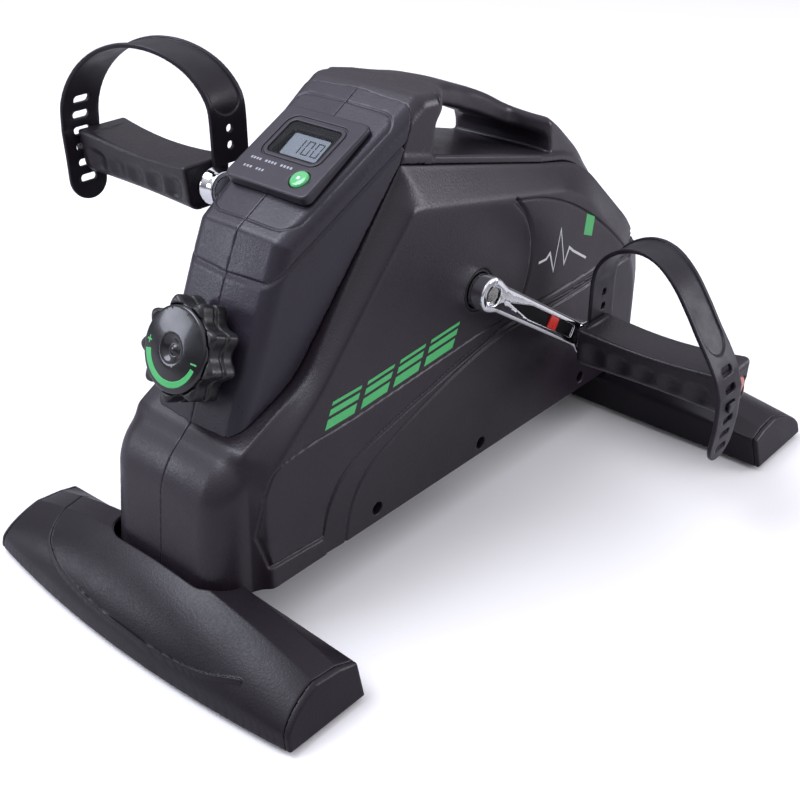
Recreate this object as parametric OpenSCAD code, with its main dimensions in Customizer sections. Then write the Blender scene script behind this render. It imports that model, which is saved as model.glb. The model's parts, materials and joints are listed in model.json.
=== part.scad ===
// Pedal exerciser: a small floor-standing crank trainer with magnetic resistance.
// Frame: +X to the user's right, the user sits on the -Y side, +Z up, floor at Z = 0,
// origin on the floor under the middle of the whole machine.

/* [Body] */
// Half width of the body between its flat side faces
side_half = 55; // [50:0.5:58]
// Half width of the body where the side bevels start
base_half = 42; // [40:0.5:44]
// Half width of the front block over the front foot
block_half = 48; // [46:0.5:49]
// Wall thickness of the plastic shells
wall = 2.5; // [2:0.1:3]
// Height of the lower edge of the body over the floor
belly_z = 30.5; // [30:0.5:32]
// Gap left between neighbouring parts
gap = 0.3; // [0.2:0.05:0.5]

/* [Drive] */
// Distance of the crank axis behind the middle of the machine
hub_y = 10; // [9:0.5:11]
// Height of the crank axis over the floor
hub_z = 150; // [149:0.5:151]
// Crank length, axis to pedal axis
crank_r = 103; // [100:0.5:105]
// Drop of the right crank arm at rest, in degrees
crank_drop = 33.5; // [20:0.5:40]
// Radius of the drive pulley's belt seat
pulley_r = 64; // [60:0.5:65]
// Radius of the flywheel pulley's belt seat
pinion_r = 16; // [14:0.5:17]
// Radius of the flywheel
flywheel_r = 52; // [45:0.5:53]

/* [Pedals] */
// Distance of the pedals' inner ends from the centre plane
pedal_in = 82; // [81:0.5:84]
// Length of a pedal
pedal_len = 104; // [95:0.5:106]
// Width of a pedal, front to back
pedal_w = 36; // [32:0.5:40]
// Height of a pedal
pedal_h = 28; // [26:0.5:30]
// Width of a pedal strap
strap_w = 26; // [20:0.5:28]
// Height of the strap's arch over the pedal axis
strap_rise = 79; // [70:1:80]

/* [Feet] */
// Half length of the front foot
front_half = 128; // [120:1:132]
// Half length of the rear foot
rear_half = 183; // [175:1:186]
// Depth of a foot at its ends
foot_depth = 54; // [50:0.5:56]
// Extra depth of the rear foot over the front foot
rear_extra = 8; // [6:0.5:10]
// Extra depth of a foot at its middle
foot_bulge = 10; // [4:0.5:10]
// Height of a foot at its middle
foot_mid_h = 47; // [44:0.5:48]
// Height of a foot at its ends
foot_end_h = 25; // [22:0.5:30]

/* [Console] */
// Tilt of the console face, in degrees
face_tilt = 30.3; // [28:0.1:32]
// Lean of the column, in degrees
lean = 23; // [22:0.1:24]
// Radius of the tension knob over its lobes
knob_r = 29; // [26:0.5:30]

/* [Hidden] */

plastic = [0.20, 0.19, 0.21];
column_grey = [0.27, 0.27, 0.31];
foot_black = [0.15, 0.14, 0.16];
rubber_black = [0.11, 0.11, 0.12];
steel = [0.62, 0.64, 0.66];
chrome = [0.85, 0.86, 0.88];
zinc = [0.72, 0.73, 0.70];
green = [0.30, 0.72, 0.36];

round_fn = 64;
arc_steps = 6;
eps = 0.01;

// Shell outlines in the Y-Z plane, anticlockwise: [y, z, corner radius].
base_corners = [[-176, belly_z, 2], [218, belly_z, 14], [218, 119, 40], [132, 195, 90],
                [-46, 239, 1.5], [-126, 139, 60], [-172, 114.5, 6]];
face_corners = [[-166, belly_z, 2], [195, belly_z, 12], [195, 108, 45], [116, 184, 90],
                [-49, 217, 3], [-125, 140, 60], [-168, 96, 16]];
block_corners = [[-200.5, belly_z, 1.5], [-100, belly_z, 1.5], [-100, 151.5, 1.5],
                 [-168.5, 116, 8], [-191.5, 101, 14]];
column_corners = [[-169.4, 116.7, 1], [-127.2, 139.4, 60], [-47, 239.6, 1], [-39.6, 266.3, 1],
                  [-126, 216, 5], [-136.5, 194, 60]];
cover_corners = [[130, 160, 60], [213, 127, 3], [185, 172, 80], [150, 203, 100], [117, 224, 200],
                 [62, 251, 200], [19, 267, 80], [-24, 277, 12], [-38.8, 266.6, 1],
                 [-45.6, 240.4, 1]];

// Column frame: its front face starts at this point and leans back.
column_y = -136.5;
column_z = 194;
column_front_half = 33;
column_flare = 0.144;

// Console face frame: front edge of the sloping face.
face_y = -126;
face_z = 216;
bezel_from = 25;
bezel_to = 83;
bezel_half = 31;
bezel_rise = 6;
window_from = 48;
window_to = 73;
window_half = 19;
button_x = 18;
button_s = 36;
button_r = 7;

// Handle: half widths of its ends and of its bar, and the opening under it.
cover_half = 43;
handle_half = 17.5;
front_flare_y = -14;
rear_flare_y = 98;

// Feet: inner edges of the two foot covers.
front_in_y = -171;
rear_in_y = 163;
foot_z0 = 3;
cap_w = 10;
tube_h = 16;
tube_w = 26;
tube_z = 6;
front_tube_y = -188;
rear_tube_y = 192;
front_tube_half = front_half - 14;
rear_tube_half = rear_half - 29;
pad_in = 30;

// Rail of the steel frame, with the bolts that hold the feet to it.
rail_y0 = -194;
rail_y1 = 208;
rail_z = 29.2;
rail_h = 22;
rail_top = rail_z + rail_h;
rail_half = 15;
steel_t = 1.5;
bolt_x = 9;
bolt_r = 3;
bolt_hole_r = 3.3;
plate_screw_y = [-130, 0, 130];

// Flywheel and brake.
fly_y = 115;
fly_z = 118;
fly_x0 = -21;
fly_x1 = -3;
belt_x0 = 22;
belt_x1 = 32;
axle_r = 5;
magnet_r = 50;
pivot_y = 58;
pivot_z = 64;
pin_r = 3;
spindle_r = 8;
run = 0.05;

// Crank set and pedals.
arm_lean = 7;
arm_x = 57.5;
arm_t = 8.5;
arm_w = 17;
boss_x0 = 47;
boss_x1 = 62;
boss_r = 10.8;
eye_r = 11;
square_w = 10;
square_len = 12;
pedal_end = pedal_in + pedal_len;
spindle_end = pedal_end - 14;
strap_t = 3;
strap_out = pedal_end + 0.6 + strap_t;
right_pedal_y = hub_y + crank_r * cos(crank_drop);
right_pedal_z = hub_z - crank_r * sin(crank_drop);
left_pedal_y = 2 * hub_y - right_pedal_y;
left_pedal_z = 2 * hub_z - right_pedal_z;

// Magnet bracket, between the sides of the flywheel.
bracket_x0 = -20;
bracket_x1 = -4;

// Tension knob axis: it meets the column's front face here.
knob_y = -153.1;
knob_z = 155;
knob_gap = 3;

// Shell screws: [y, z] on the side faces, and the X of the seat under their heads.
screw_sites = [[-81, 40], [18, 39], [132, 40]];
head_x = 42;
plate_z = 26.6;
hub_hole_r = 13;
mouth = 4;
block_top = 140;

function unit(v) = v / norm(v);
function flat2(p) = [p[0], p[1]];
function wrap(a) = a > 180 ? a - 360 : (a < -180 ? a + 360 : a);

// Points of the arc that rounds corner b between its neighbours a and c.
function corner_arc(a, b, c, r, n) =
    let (u = unit(a - b),
         v = unit(c - b),
         half = acos(u * v) / 2,
         centre = b + unit(u + v) * r / sin(half),
         p = b + u * r / tan(half) - centre,
         q = b + v * r / tan(half) - centre,
         from = atan2(p[1], p[0]),
         turn = wrap(atan2(q[1], q[0]) - from))
    [for (i = [0:n]) centre + r * [cos(from + turn * i / n), sin(from + turn * i / n)]];

// A closed outline with every corner rounded.
function outline(corners, n = arc_steps) =
    let (k = len(corners))
    [for (i = [0:k - 1])
        each corner_arc(flat2(corners[(i + k - 1) % k]), flat2(corners[i]),
                        flat2(corners[(i + 1) % k]), corners[i][2], n)];

// The same corners moved inwards by t (outwards if t is negative).
function inset(corners, t) =
    let (k = len(corners))
    [for (i = [0:k - 1])
        let (a = flat2(corners[(i + k - 1) % k]),
             b = flat2(corners[i]),
             c = flat2(corners[(i + 1) % k]),
             u = unit(b - a),
             v = unit(c - b),
             nu = [-u[1], u[0]],
             nv = [-v[1], v[0]],
             p = b + (nu + nv) * t / (1 + nu * nv),
             bend = u[0] * v[1] - u[1] * v[0])
        [p[0], p[1], max(bend > 0 ? corners[i][2] - t : corners[i][2] + t, 0.4)]];

// Prism of a Y-Z outline between two X planes.
module prism_x(points, x0, x1) {
    translate([x0, 0, 0])
    rotate([90, 0, 90])
    linear_extrude(x1 - x0)
    polygon(points);
}

// Solid through equal-length Y-Z outlines placed at rising X stations.
module loft_x(sections, stations) {
    n = len(sections[0]);
    k = len(sections);
    points = [for (i = [0:k - 1]) for (p = sections[i]) [stations[i], p[0], p[1]]];
    walls = [for (i = [0:k - 2]) for (j = [0:n - 1])
        let (m = (j + 1) % n)
        [i * n + j, (i + 1) * n + j, (i + 1) * n + m, i * n + m]];
    start = [[for (j = [0:n - 1]) j]];
    end = [[for (j = [n - 1:-1:0]) (k - 1) * n + j]];
    polyhedron(points, concat(start, end, walls), convexity = 8);
}

// Cylinder along +X from x0 to x1 at [y, z].
module rod_x(r, x0, x1, y, z, fn = round_fn) {
    translate([x0, y, z])
    rotate([0, 90, 0])
    cylinder(r = r, h = x1 - x0, $fn = fn);
}

module ring_x(r_out, r_in, x0, x1, y, z) {
    difference() {
        rod_x(r_out, x0, x1, y, z);
        rod_x(r_in, x0 - 1, x1 + 1, y, z);
    }
}

module box(x0, x1, y0, y1, z0, z1) {
    translate([x0, y0, z0])
    cube([x1 - x0, y1 - y0, z1 - z0]);
}

// ---------- body shells ----------

// Plan of the front block, rounded at its two front corners.
module block_plan(t, z1) {
    half = block_half - t;
    corners = [[-half, -200.5 + t, 19 - t], [half, -200.5 + t, 19 - t], [half, -90, 1], [-half, -90, 1]];
    translate([0, 0, belly_z - 1])
    linear_extrude(z1 - belly_z)
    polygon(outline(corners));
}

// The corners moved inwards by t, with the lower edge left open when t is a wall.
function open_below(corners, t) = [for (c = inset(corners, t))
    [c[0], t > 0 && c[1] < belly_z + t + 1 ? c[1] - t - mouth : c[1], c[2]]];

// Outer form of both shells together, or its inside when t is the wall.
module body_form(t) {
    low = t > 0 ? -mouth : 0;
    base = open_below(base_corners, t);
    face = open_below(face_corners, t);
    loft_x([outline(base), outline(base), outline(face), outline(inset(face, 1.5))],
           [-eps, base_half - t, side_half - 1.2 - t, side_half - t]);
    intersection() {
        prism_x(outline(open_below(block_corners, t)), -block_half, block_half);
        translate([0, 0, low])
        block_plan(t, block_top - low);
    }
}

// Right shell: its hollow half, three screw pillars and the hole for the crank hub.
module half_shell() {
    difference() {
        union() {
            difference() {
                intersection() {
                    body_form(0);
                    box(0.1, 80, -260, 260, 0, 300);
                }
                body_form(wall);
            }
            intersection() {
                union()
                    for (s = screw_sites)
                        rod_x(4.6, rail_half + 0.3, side_half - 2, s[0], s[1], 32);
                body_form(wall / 2);
            }
        }
        rod_x(hub_hole_r, 20, 80, hub_y, hub_z);
        for (s = screw_sites) {
            rod_x(1.9, 0, 80, s[0], s[1], 32);
            rod_x(4, head_x, 80, s[0], s[1], 32);
        }
        cable_gap();
    }
}

// Hole in the top front of the shells for the cable and the console lead.
module cable_gap() {
    box(-22, 22, -140, -70, 150, 185);
}

module right_shell() {
    color(plastic)
    half_shell();
}

module left_shell() {
    color(plastic)
    mirror([1, 0, 0])
    half_shell();
}

module belly_plate() {
    color(foot_black)
    difference() {
        box(-38, 38, -150, 150, plate_z, plate_z + 2.5);
        for (y = plate_screw_y)
            translate([0, y, 20])
            cylinder(r = 2.2, h = 20, $fn = 32);
    }
}

// ---------- column and console housing ----------

module column_space(t) {
    translate([0, column_y, column_z])
    rotate([-lean, 0, 0])
    translate([0, 0, -110])
    linear_extrude(240)
    polygon(outline([[-column_front_half + t, t, 9], [column_front_half - t, t, 9],
                     [column_front_half + 150 * column_flare - t, 150, 1],
                     [-column_front_half - 150 * column_flare + t, 150, 1]]));
}

module column_half() {
    difference() {
        intersection() {
            prism_x(outline(column_corners), 0.1, 60);
            column_space(0);
        }
        intersection() {
            prism_x(outline(inset(column_corners, wall)), -1, 60);
            column_space(wall);
        }
        face_frame()
        translate([0, bezel_from + 2, -8])
        linear_extrude(16)
        polygon(outline([[-27, 0, 3], [27, 0, 3], [27, 53, 3], [-27, 53, 3]]));
        knob_frame()
        translate([0, 0, -20])
        cylinder(r = 5.1, h = 30, $fn = round_fn);
        box(-22, 22, -135, -70, 145, 190);
    }
}

module column_right() {
    color(column_grey)
    column_half();
}

module column_left() {
    color(column_grey)
    mirror([1, 0, 0])
    column_half();
}

// Frame on the sloping face: x across, y up the slope, z out of it.
module face_frame() {
    translate([0, face_y, face_z])
    rotate([face_tilt, 0, 0])
    children();
}

// Frame on the knob axis: z out of the column's front face.
module knob_frame() {
    translate([0, knob_y, knob_z])
    rotate([90 - lean, 0, 0])
    children();
}

// ---------- top cover with the carrying handle ----------

module top_cover() {
    lid_corners = inset(base_corners, -5);
    color(plastic)
    difference() {
        union() {
            intersection() {
                prism_x(outline(lid_corners), -cover_half, cover_half);
                box(-60, 60, -44.6, 206, 100, 300);
            }
            intersection() {
                prism_x(outline(cover_corners), -cover_half, cover_half);
                translate([0, 0, 100])
                linear_extrude(200)
                polygon(outline(handle_plan()));
            }
        }
        difference() {
            prism_x(outline(handle_opening()), -60, 60);
            prism_x(outline(lid_corners), -61, 61);
        }
        prism_x(outline(inset(base_corners, -gap)), -60, 60);
        cover_hollow(39.5, -42, front_flare_y - 4);
        cover_hollow(35, rear_flare_y + 4, 202);
    }
}

// Space inside one end of the cover, open to below.
module cover_hollow(half, y0, y1) {
    for (drop = [0, 10])
        intersection() {
            translate([0, 0, -drop])
            prism_x(outline(inset(cover_corners, 3)), -half, half);
            box(-half, half, y0, y1, 100, 300);
        }
}

function handle_plan() = [
    [-cover_half, -46, 1], [cover_half, -46, 1], [cover_half, front_flare_y, 9],
    [handle_half, front_flare_y + 34, 30], [handle_half, rear_flare_y - 14, 12],
    [40, rear_flare_y, 6], [38, 216, 12], [-38, 216, 12],
    [-40, rear_flare_y, 6], [-handle_half, rear_flare_y - 14, 12],
    [-handle_half, front_flare_y + 34, 30], [-cover_half, front_flare_y, 9]];

function handle_opening() = [
    [-24, 200, 1], [98, 170, 1], [98, 221, 8], [50, 242, 60], [-14, 262, 9]];

// ---------- feet ----------

// Foot cross-section at station x; v runs from the inner wall to the outer edge.
function foot_section(x, half, deep, t) =
    let (k = 1 - (x / half) * (x / half),
         depth = deep + foot_bulge * k - t,
         high = foot_end_h + (foot_mid_h - foot_end_h) * k - t,
         z0 = t > 0 ? foot_z0 - 1 : foot_z0,
         step = 5,
         ridge = 12,
         inner_drop = 0.2,
         arc = [for (i = [1:8])
             let (w = i * 90 / 8)
             [ridge + (depth - ridge) * cos(w), z0 + step + (high - z0 - step) * sin(w)]])
    concat([[t, z0], [depth, z0], [depth, z0 + step]], arc, [[t, high * (1 - inner_drop)]]);

module foot_solid(half, deep, x0, x1, t, steps = 20) {
    stations = [for (i = [0:steps]) x0 + (x1 - x0) * i / steps];
    loft_x([for (x = stations) foot_section(x, half, deep, t)], stations);
}

module foot_cover(half, deep) {
    end = half - cap_w;
    difference() {
        foot_solid(half, deep, -end + 0.1, end - 0.1, 0);
        foot_solid(half, deep, -end - 1, end + 1, wall);
    }
}

module foot_caps(half, deep) {
    for (side = [0, 1])
        mirror([side, 0, 0])
        foot_solid(half, deep, half - cap_w + 0.1, half, 0, 4);
}

module at_front_foot() {
    translate([0, front_in_y, 0])
    rotate([0, 0, 180])
    children();
}

module at_rear_foot() {
    translate([0, rear_in_y, 0])
    children();
}

// Room in the foot covers for the body and the rail that stand on them.
module front_recess() {
    translate([0, 0, belly_z - 1.2])
    linear_extrude(60)
    polygon(outline([[-block_half - 0.8, -201.5, 19], [block_half + 0.8, -201.5, 19],
                     [block_half + 0.8, -150, 1], [-block_half - 0.8, -150, 1]]));
    box(-58, 58, -184, -150, belly_z - 1.2, 90);
    box(-rail_half - 1, rail_half + 1, -184, -150, rail_z - 0.4, 90);
}

module rear_recess() {
    translate([0, 0, belly_z - 1.2])
    linear_extrude(60)
    polygon(outline([[-57, 150, 1], [57, 150, 1], [57, 197, 14], [44, 219.5, 8],
                     [-44, 219.5, 8], [-57, 197, 14]]));
    box(-rail_half - 1, rail_half + 1, 150, 190, rail_z - 0.4, 90);
}

module front_foot_cover() {
    color(foot_black)
    difference() {
        at_front_foot()
        foot_cover(front_half, foot_depth);
        front_recess();
    }
}

module rear_foot_cover() {
    color(foot_black)
    difference() {
        at_rear_foot()
        foot_cover(rear_half, foot_depth + rear_extra);
        rear_recess();
    }
}

module front_foot_caps() {
    color(foot_black)
    at_front_foot()
    foot_caps(front_half, foot_depth);
}

module rear_foot_caps() {
    color(foot_black)
    at_rear_foot()
    foot_caps(rear_half, foot_depth + rear_extra);
}

module foot_bolt_holes(y) {
    for (s = [-1, 1])
        translate([s * bolt_x, y, 0])
        cylinder(r = bolt_hole_r, h = 60, $fn = 32);
}

module foot_tube(half, y) {
    difference() {
        box(-half, half, y - tube_w / 2, y + tube_w / 2, tube_z, tube_z + tube_h);
        box(-half - 1, half + 1, y - tube_w / 2 + steel_t, y + tube_w / 2 - steel_t,
            tube_z + steel_t, tube_z + tube_h - steel_t);
        foot_bolt_holes(y);
    }
}

module front_foot_tube() {
    color(steel)
    foot_tube(front_tube_half, front_tube_y);
}

module rear_foot_tube() {
    color(steel)
    foot_tube(rear_tube_half, rear_tube_y);
}

// Four rubber pads under the ends of the foot tubes.
module foot_pads() {
    color(rubber_black)
    for (f = [[front_half - pad_in, front_tube_y], [rear_half - pad_in, rear_tube_y]])
        for (s = [-1, 1])
            translate([s * f[0], f[1], 0]) {
                box(-17, 17, -13, 13, 1.5, tube_z - 0.1);
                box(-15, 15, -11, 11, 0, 1.5 + eps);
            }
}

// Bolts through the rail and the foot tubes, with their nuts below.
module foot_bolts() {
    head_r = 5.8;
    color(zinc)
    for (y = [front_tube_y, rear_tube_y])
        for (s = [-1, 1])
            translate([s * bolt_x, y, 0]) {
                translate([0, 0, 1.6])
                cylinder(r = bolt_r, h = rail_top - 1.4, $fn = 32);
                translate([0, 0, rail_top + 0.1])
                cylinder(r = head_r, h = 4, $fn = 6);
                translate([0, 0, 2.2])
                cylinder(r = head_r, h = tube_z - 2.3, $fn = 6);
            }
}

// ---------- steel frame ----------

module frame_rail() {
    difference() {
        box(-rail_half, rail_half, rail_y0, rail_y1, rail_z, rail_top);
        box(-rail_half + steel_t, rail_half - steel_t, rail_y0 - 1, rail_y1 + 1,
            rail_z + steel_t, rail_top - steel_t);
        for (y = [front_tube_y, rear_tube_y])
            foot_bolt_holes(y);
        for (y = plate_screw_y)
            translate([0, y, rail_z - 1])
            cylinder(r = 2.02, h = 4, $fn = 32);
        for (s = screw_sites)
            rod_x(1.52, -20, 20, s[0], s[1], 32);
    }
}

// Welded block that the rail stands on over a foot tube.
module saddle(y) {
    difference() {
        box(-17, 17, y - 8, y + 8, tube_z + tube_h + 0.1, rail_z + eps);
        foot_bolt_holes(y);
    }
}

module hub_post() {
    difference() {
        union() {
            box(-13, 13, hub_y - 12, hub_y + 12, rail_top - eps, hub_z);
            rod_x(18, -30, 18, hub_y, hub_z);
        }
        box(-11.5, 11.5, hub_y - 10.5, hub_y + 10.5, rail_top, hub_z - 20);
        rod_x(14, -31, 19, hub_y, hub_z);
    }
}

// Tab behind the crank housing that holds the end of the cable sheath.
module cable_stop() {
    difference() {
        box(-16, -8, hub_y + 12, hub_y + 16, hub_z + 6, hub_z + 26);
        translate([-12, hub_y + 10, hub_z + 19.75])
        rotate([-90, 0, 0])
        cylinder(r = 3, h = 10, $fn = 32);
        rod_x(17, -31, 19, hub_y, hub_z);
    }
}

module axle_plate(x0) {
    difference() {
        prism_x(outline([[78, rail_top, 1], [150, rail_top, 1], [129, fly_z + 6, 12],
                         [101, fly_z + 6, 12]]), x0, x0 + 3);
        rod_x(axle_r + run, x0 - 1, x0 + 4, fly_y, fly_z);
    }
}

module pivot_lug(x0) {
    difference() {
        prism_x(outline([[pivot_y - 8, rail_top - eps, 1], [pivot_y + 8, rail_top - eps, 1],
                         [pivot_y + 6, pivot_z + 6, 5], [pivot_y - 6, pivot_z + 6, 5]]),
                x0, x0 + 2.5);
        rod_x(pin_r + run, x0 - 1, x0 + 4, pivot_y, pivot_z, 32);
    }
}

module base_frame() {
    color(rubber_black) {
        frame_rail();
        saddle(front_tube_y);
        saddle(rear_tube_y);
        hub_post();
        cable_stop();
        box(-34, 41, 78, 150, rail_top - eps, rail_top + 3);
        axle_plate(-34);
        axle_plate(38);
        box(-25.5, 4, pivot_y - 8, pivot_y + 8, rail_top - eps, rail_top + 2);
        pivot_lug(-25.5);
        pivot_lug(1.5);
    }
}

// Six equal screws that hold the two shells to the rail.
module shell_screws() {
    color(zinc)
    for (side = [0, 1])
        mirror([side, 0, 0])
        for (s = screw_sites) {
            rod_x(1.5, 11, head_x + 0.2, s[0], s[1], 32);
            difference() {
                rod_x(3.4, head_x + 0.1, head_x + 2.6, s[0], s[1], 32);
                box(head_x + 1.4, head_x + 4, s[0] - 0.5, s[0] + 0.5, s[1] - 2.4, s[1] + 2.4);
            }
        }
}

// Three screws that hold the belly plate under the rail.
module plate_screws() {
    color(zinc)
    for (y = plate_screw_y)
        translate([0, y, 0]) {
            translate([0, 0, plate_z - 0.2])
            cylinder(r = 2, h = 8, $fn = 32);
            translate([0, 0, plate_z - 2.3])
            cylinder(r = 3.8, h = 2.2, $fn = 32);
        }
}

module hub_rings() {
    color(rubber_black)
    for (s = [0, 1])
        mirror([s, 0, 0])
        difference() {
            union() {
                rod_x(hub_hole_r - 0.1, side_half - wall - 1.5, side_half - 0.3, hub_y, hub_z);
                rod_x(15.2, side_half - wall - 1.7, side_half - wall - 0.1, hub_y, hub_z);
            }
            rod_x(11.6, 20, 80, hub_y, hub_z);
        }
}

// ---------- crank set ----------

module crank_bushes() {
    color([0.55, 0.45, 0.30])
    for (x = [-30.5, 8])
        difference() {
            rod_x(13.98, x, x + 10, hub_y, hub_z);
            rod_x(spindle_r + run, x - 1, x + 11, hub_y, hub_z);
        }
}

module crank_spindle() {
    color(steel)
    difference() {
        union() {
            rod_x(spindle_r, -46, 46, hub_y, hub_z);
            rod_x(11, 18.6, 21.8, hub_y, hub_z);
            for (x = [-45 - square_len, 45])
                translate([x, hub_y, hub_z])
                rotate([-crank_drop, 0, 0])
                box(0, square_len, -square_w / 2, square_w / 2, -square_w / 2, square_w / 2);
        }
        for (x = [-60, 40])
            rod_x(3.02, x, x + 20, hub_y, hub_z, 32);
    }
}

// Right crank arm, drawn along +Y from the spindle and leaning outwards.
// Frame of the leaning arm bar: x through its thickness, y along it.
module on_arm() {
    translate([arm_x, 0, 0])
    rotate([0, 0, -arm_lean])
    children();
}

module arm_bar(width, y0, y1) {
    on_arm()
    linear_extrude(width, center = true)
    polygon([[0, y0], [arm_t, y0], [arm_t - 0.3, y1], [0, y1]]);
}

module crank_arm_form() {
    hole_w = square_w + 0.1;
    difference() {
        union() {
            rod_x(boss_r, boss_x0, boss_x1, 0, 0);
            rod_x(9.5, boss_x1 - 1, boss_x1 + 4, 0, 0);
            arm_bar(arm_w, 0, crank_r - 8);
            arm_bar(arm_w - 2, 60, crank_r - 2);
            rod_x(eye_r, pedal_in - 14, pedal_in - 3.5, crank_r, 0);
        }
        translate([boss_x0 - 1, -hole_w / 2, -hole_w / 2])
        cube([square_len - 0.8, hole_w, hole_w]);
        rod_x(bolt_hole_r, 40, 80, 0, 0, 32);
        rod_x(6.2, boss_x1 + 0.5, 80, 0, 0, 32);
        rod_x(7, pedal_in - 20, pedal_in + 5, crank_r, 0);
        on_arm()
        translate([arm_t - 1.9, 0, 0])
        rotate([90, 0, 90])
        linear_extrude(5)
        polygon([[16, 0], [40, -3.6], [crank_r - 22, -4.2], [crank_r - 22, 4.2], [40, 3.6]]);
    }
}

module at_right_crank() {
    translate([0, hub_y, hub_z])
    rotate([-crank_drop, 0, 0])
    children();
}

module at_left_crank() {
    translate([0, hub_y, hub_z])
    rotate([180 - crank_drop, 0, 0])
    mirror([1, 0, 0])
    mirror([0, 0, 1])
    children();
}

module right_crank_arm() {
    color(chrome)
    at_right_crank()
    crank_arm_form();
}

module left_crank_arm() {
    color(chrome)
    at_left_crank()
    crank_arm_form();
}

module crank_bolts() {
    color(zinc)
    for (s = [0, 1])
        mirror([s, 0, 0]) {
            rod_x(3, 46, 62, hub_y, hub_z, 32);
            translate([62.6, hub_y, hub_z])
            rotate([0, 90, 0])
            cylinder(r = 5.4, h = 3, $fn = 6);
            rod_x(3, 61.9, 62.7, hub_y, hub_z, 32);
        }
}

module drive_pulley() {
    color(rubber_black)
    difference() {
        union() {
            ring_x(pulley_r, pulley_r - 8, belt_x0, belt_x1, hub_y, hub_z);
            rod_x(18, belt_x0, belt_x1, hub_y, hub_z);
            rod_x(pulley_r - 4, belt_x0 + 3.5, belt_x0 + 6.5, hub_y, hub_z);
            for (x = [belt_x0 - 1.4, belt_x1])
                ring_x(pulley_r + 3, pulley_r - 8, x, x + 1.4, hub_y, hub_z);
        }
        rod_x(spindle_r + 0.02, 10, 40, hub_y, hub_z);
        for (a = [30:60:330])
            translate([0, hub_y, hub_z])
            rotate([a, 0, 0])
            rod_x(11, 10, 40, 0, 37);
        rod_x(3.05, 10, 40, hub_y, hub_z + magnet_r, 32);
    }
}

module sensor_magnet() {
    color(zinc)
    rod_x(3, belt_x0 + 3, belt_x0 + 8, hub_y, hub_z + magnet_r, 32);
}

module speed_sensor() {
    color([0.10, 0.30, 0.18])
    box(14 - eps, 18, hub_y - 7, hub_y + 7, hub_z + 44, hub_z + 56);
    color(rubber_black)
    box(8, 14, hub_y - 5, hub_y + 5, hub_z + 18.05, hub_z + 56);
}

// ---------- pedals, drawn at the right pedal's axis ----------

module pedal_spindle_form() {
    rod_x(6.98, pedal_in - 14, pedal_in - 2.2, 0, 0);
    rod_x(8.5, pedal_in - 2.2, pedal_in - 0.4, 0, 0);
    rod_x(6, pedal_in - 1, spindle_end, 0, 0);
}

module pedal_nut_form() {
    difference() {
        rod_x(8, spindle_end - 8, spindle_end - 2, 0, 0, 6);
        rod_x(6.02, spindle_end - 10, spindle_end + 2, 0, 0);
    }
}

// Grip cross-section (y, z) at distance s from the inner end.
function grip_section(s) =
    let (u = s / pedal_len,
         dip = 3.2 * sin(180 * u),
         front = -pedal_w / 2 + 1.6 * max(0, sin(360 * 5 * u - 90)) * (u > 0.1 && u < 0.95 ? 1 : 0),
         back = pedal_w / 2 - 1.5 * sin(180 * u),
         top = pedal_h / 2 - dip + 2.5 * u,
         low = -pedal_h / 2 + 1.5 * u)
    outline([[front + 2, low, 5], [back - 2, low, 8], [back, top, 4], [front, top, 4]], 3);

module pedal_body_form() {
    stations = [for (i = [0:26]) i * pedal_len / 26];
    difference() {
        translate([pedal_in, 0, 0])
        loft_x([for (s = stations) grip_section(s)], stations);
        rod_x(6 + run, pedal_in - 2, pedal_in + 30, 0, 0);
        rod_x(9, pedal_in + 30 - eps, spindle_end - 30, 0, 0);
        rod_x(6 + run, spindle_end - 30 - eps, spindle_end - 16, 0, 0);
        rod_x(9.5, spindle_end - 16 - eps, pedal_end - 4, 0, 0);
        rod_x(8.02, pedal_end - 5, pedal_end + 5, 0, 0);
    }
}

// Plug in the pedal's outer end, with the headed peg that a strap slot hooks over.
module pedal_plug_form() {
    rod_x(8, pedal_end - 4.6, pedal_end, 0, 0);
    rod_x(3.2, pedal_end - 0.2, strap_out + 0.2, 0, 0, 32);
    rod_x(5, strap_out + 0.1, strap_out + 1.6, 0, 0, 32);
}

// Inside line of the strap in the X-Z plane, from its inner end over the arch.
function strap_path() =
    let (x0 = pedal_in - 0.1,
         x1 = pedal_end + 0.6,
         mid = (x0 + x1) / 2,
         half = (x1 - x0) / 2,
         spring_z = 24)
    concat([[x0, 9.5], [x0, 16]],
           [for (i = [0:20]) [mid - half * cos(i * 9), spring_z + (strap_rise - spring_z) * sin(i * 9)]],
           [[x1, 12], [x1, 0], [x1, -14], [x1 - 1, -31]]);

function path_normal(p, i) =
    let (d = unit(p[min(i + 1, len(p) - 1)] - p[max(i - 1, 0)]))
    [-d[1], d[0]];

module pedal_strap_form() {
    p = strap_path();
    n = len(p);
    outer = [for (i = [0:n - 1]) p[i] + path_normal(p, i) * strap_t];
    slot_h = 3.6;
    slot_w = 9;
    pitch = 10;
    difference() {
        rotate([90, 0, 0])
        linear_extrude(strap_w, center = true)
        polygon(concat(p, [for (i = [n - 1:-1:0]) outer[i]]));
        for (k = [-2, -1, 1, 2, 3])
            translate([pedal_end - 2, -slot_w / 2, k * pitch - slot_h / 2])
            cube([12, slot_w, slot_h]);
        rod_x(3.25, pedal_end, pedal_end + 12, 0, 0, 32);
        for (k = [0, 1])
            translate([pedal_in - 8, -slot_w / 2, k * pitch + 18])
            cube([12, slot_w, slot_h]);
    }
}

module at_right_pedal() {
    translate([0, right_pedal_y, right_pedal_z])
    children();
}

module at_left_pedal() {
    translate([0, left_pedal_y, left_pedal_z])
    mirror([1, 0, 0])
    children();
}

module right_pedal_spindle() {
    color(steel)
    at_right_pedal()
    pedal_spindle_form();
}

module left_pedal_spindle() {
    color(steel)
    at_left_pedal()
    pedal_spindle_form();
}

module pedal_nuts() {
    color(zinc) {
        at_right_pedal()
        pedal_nut_form();
        at_left_pedal()
        pedal_nut_form();
    }
}

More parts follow.
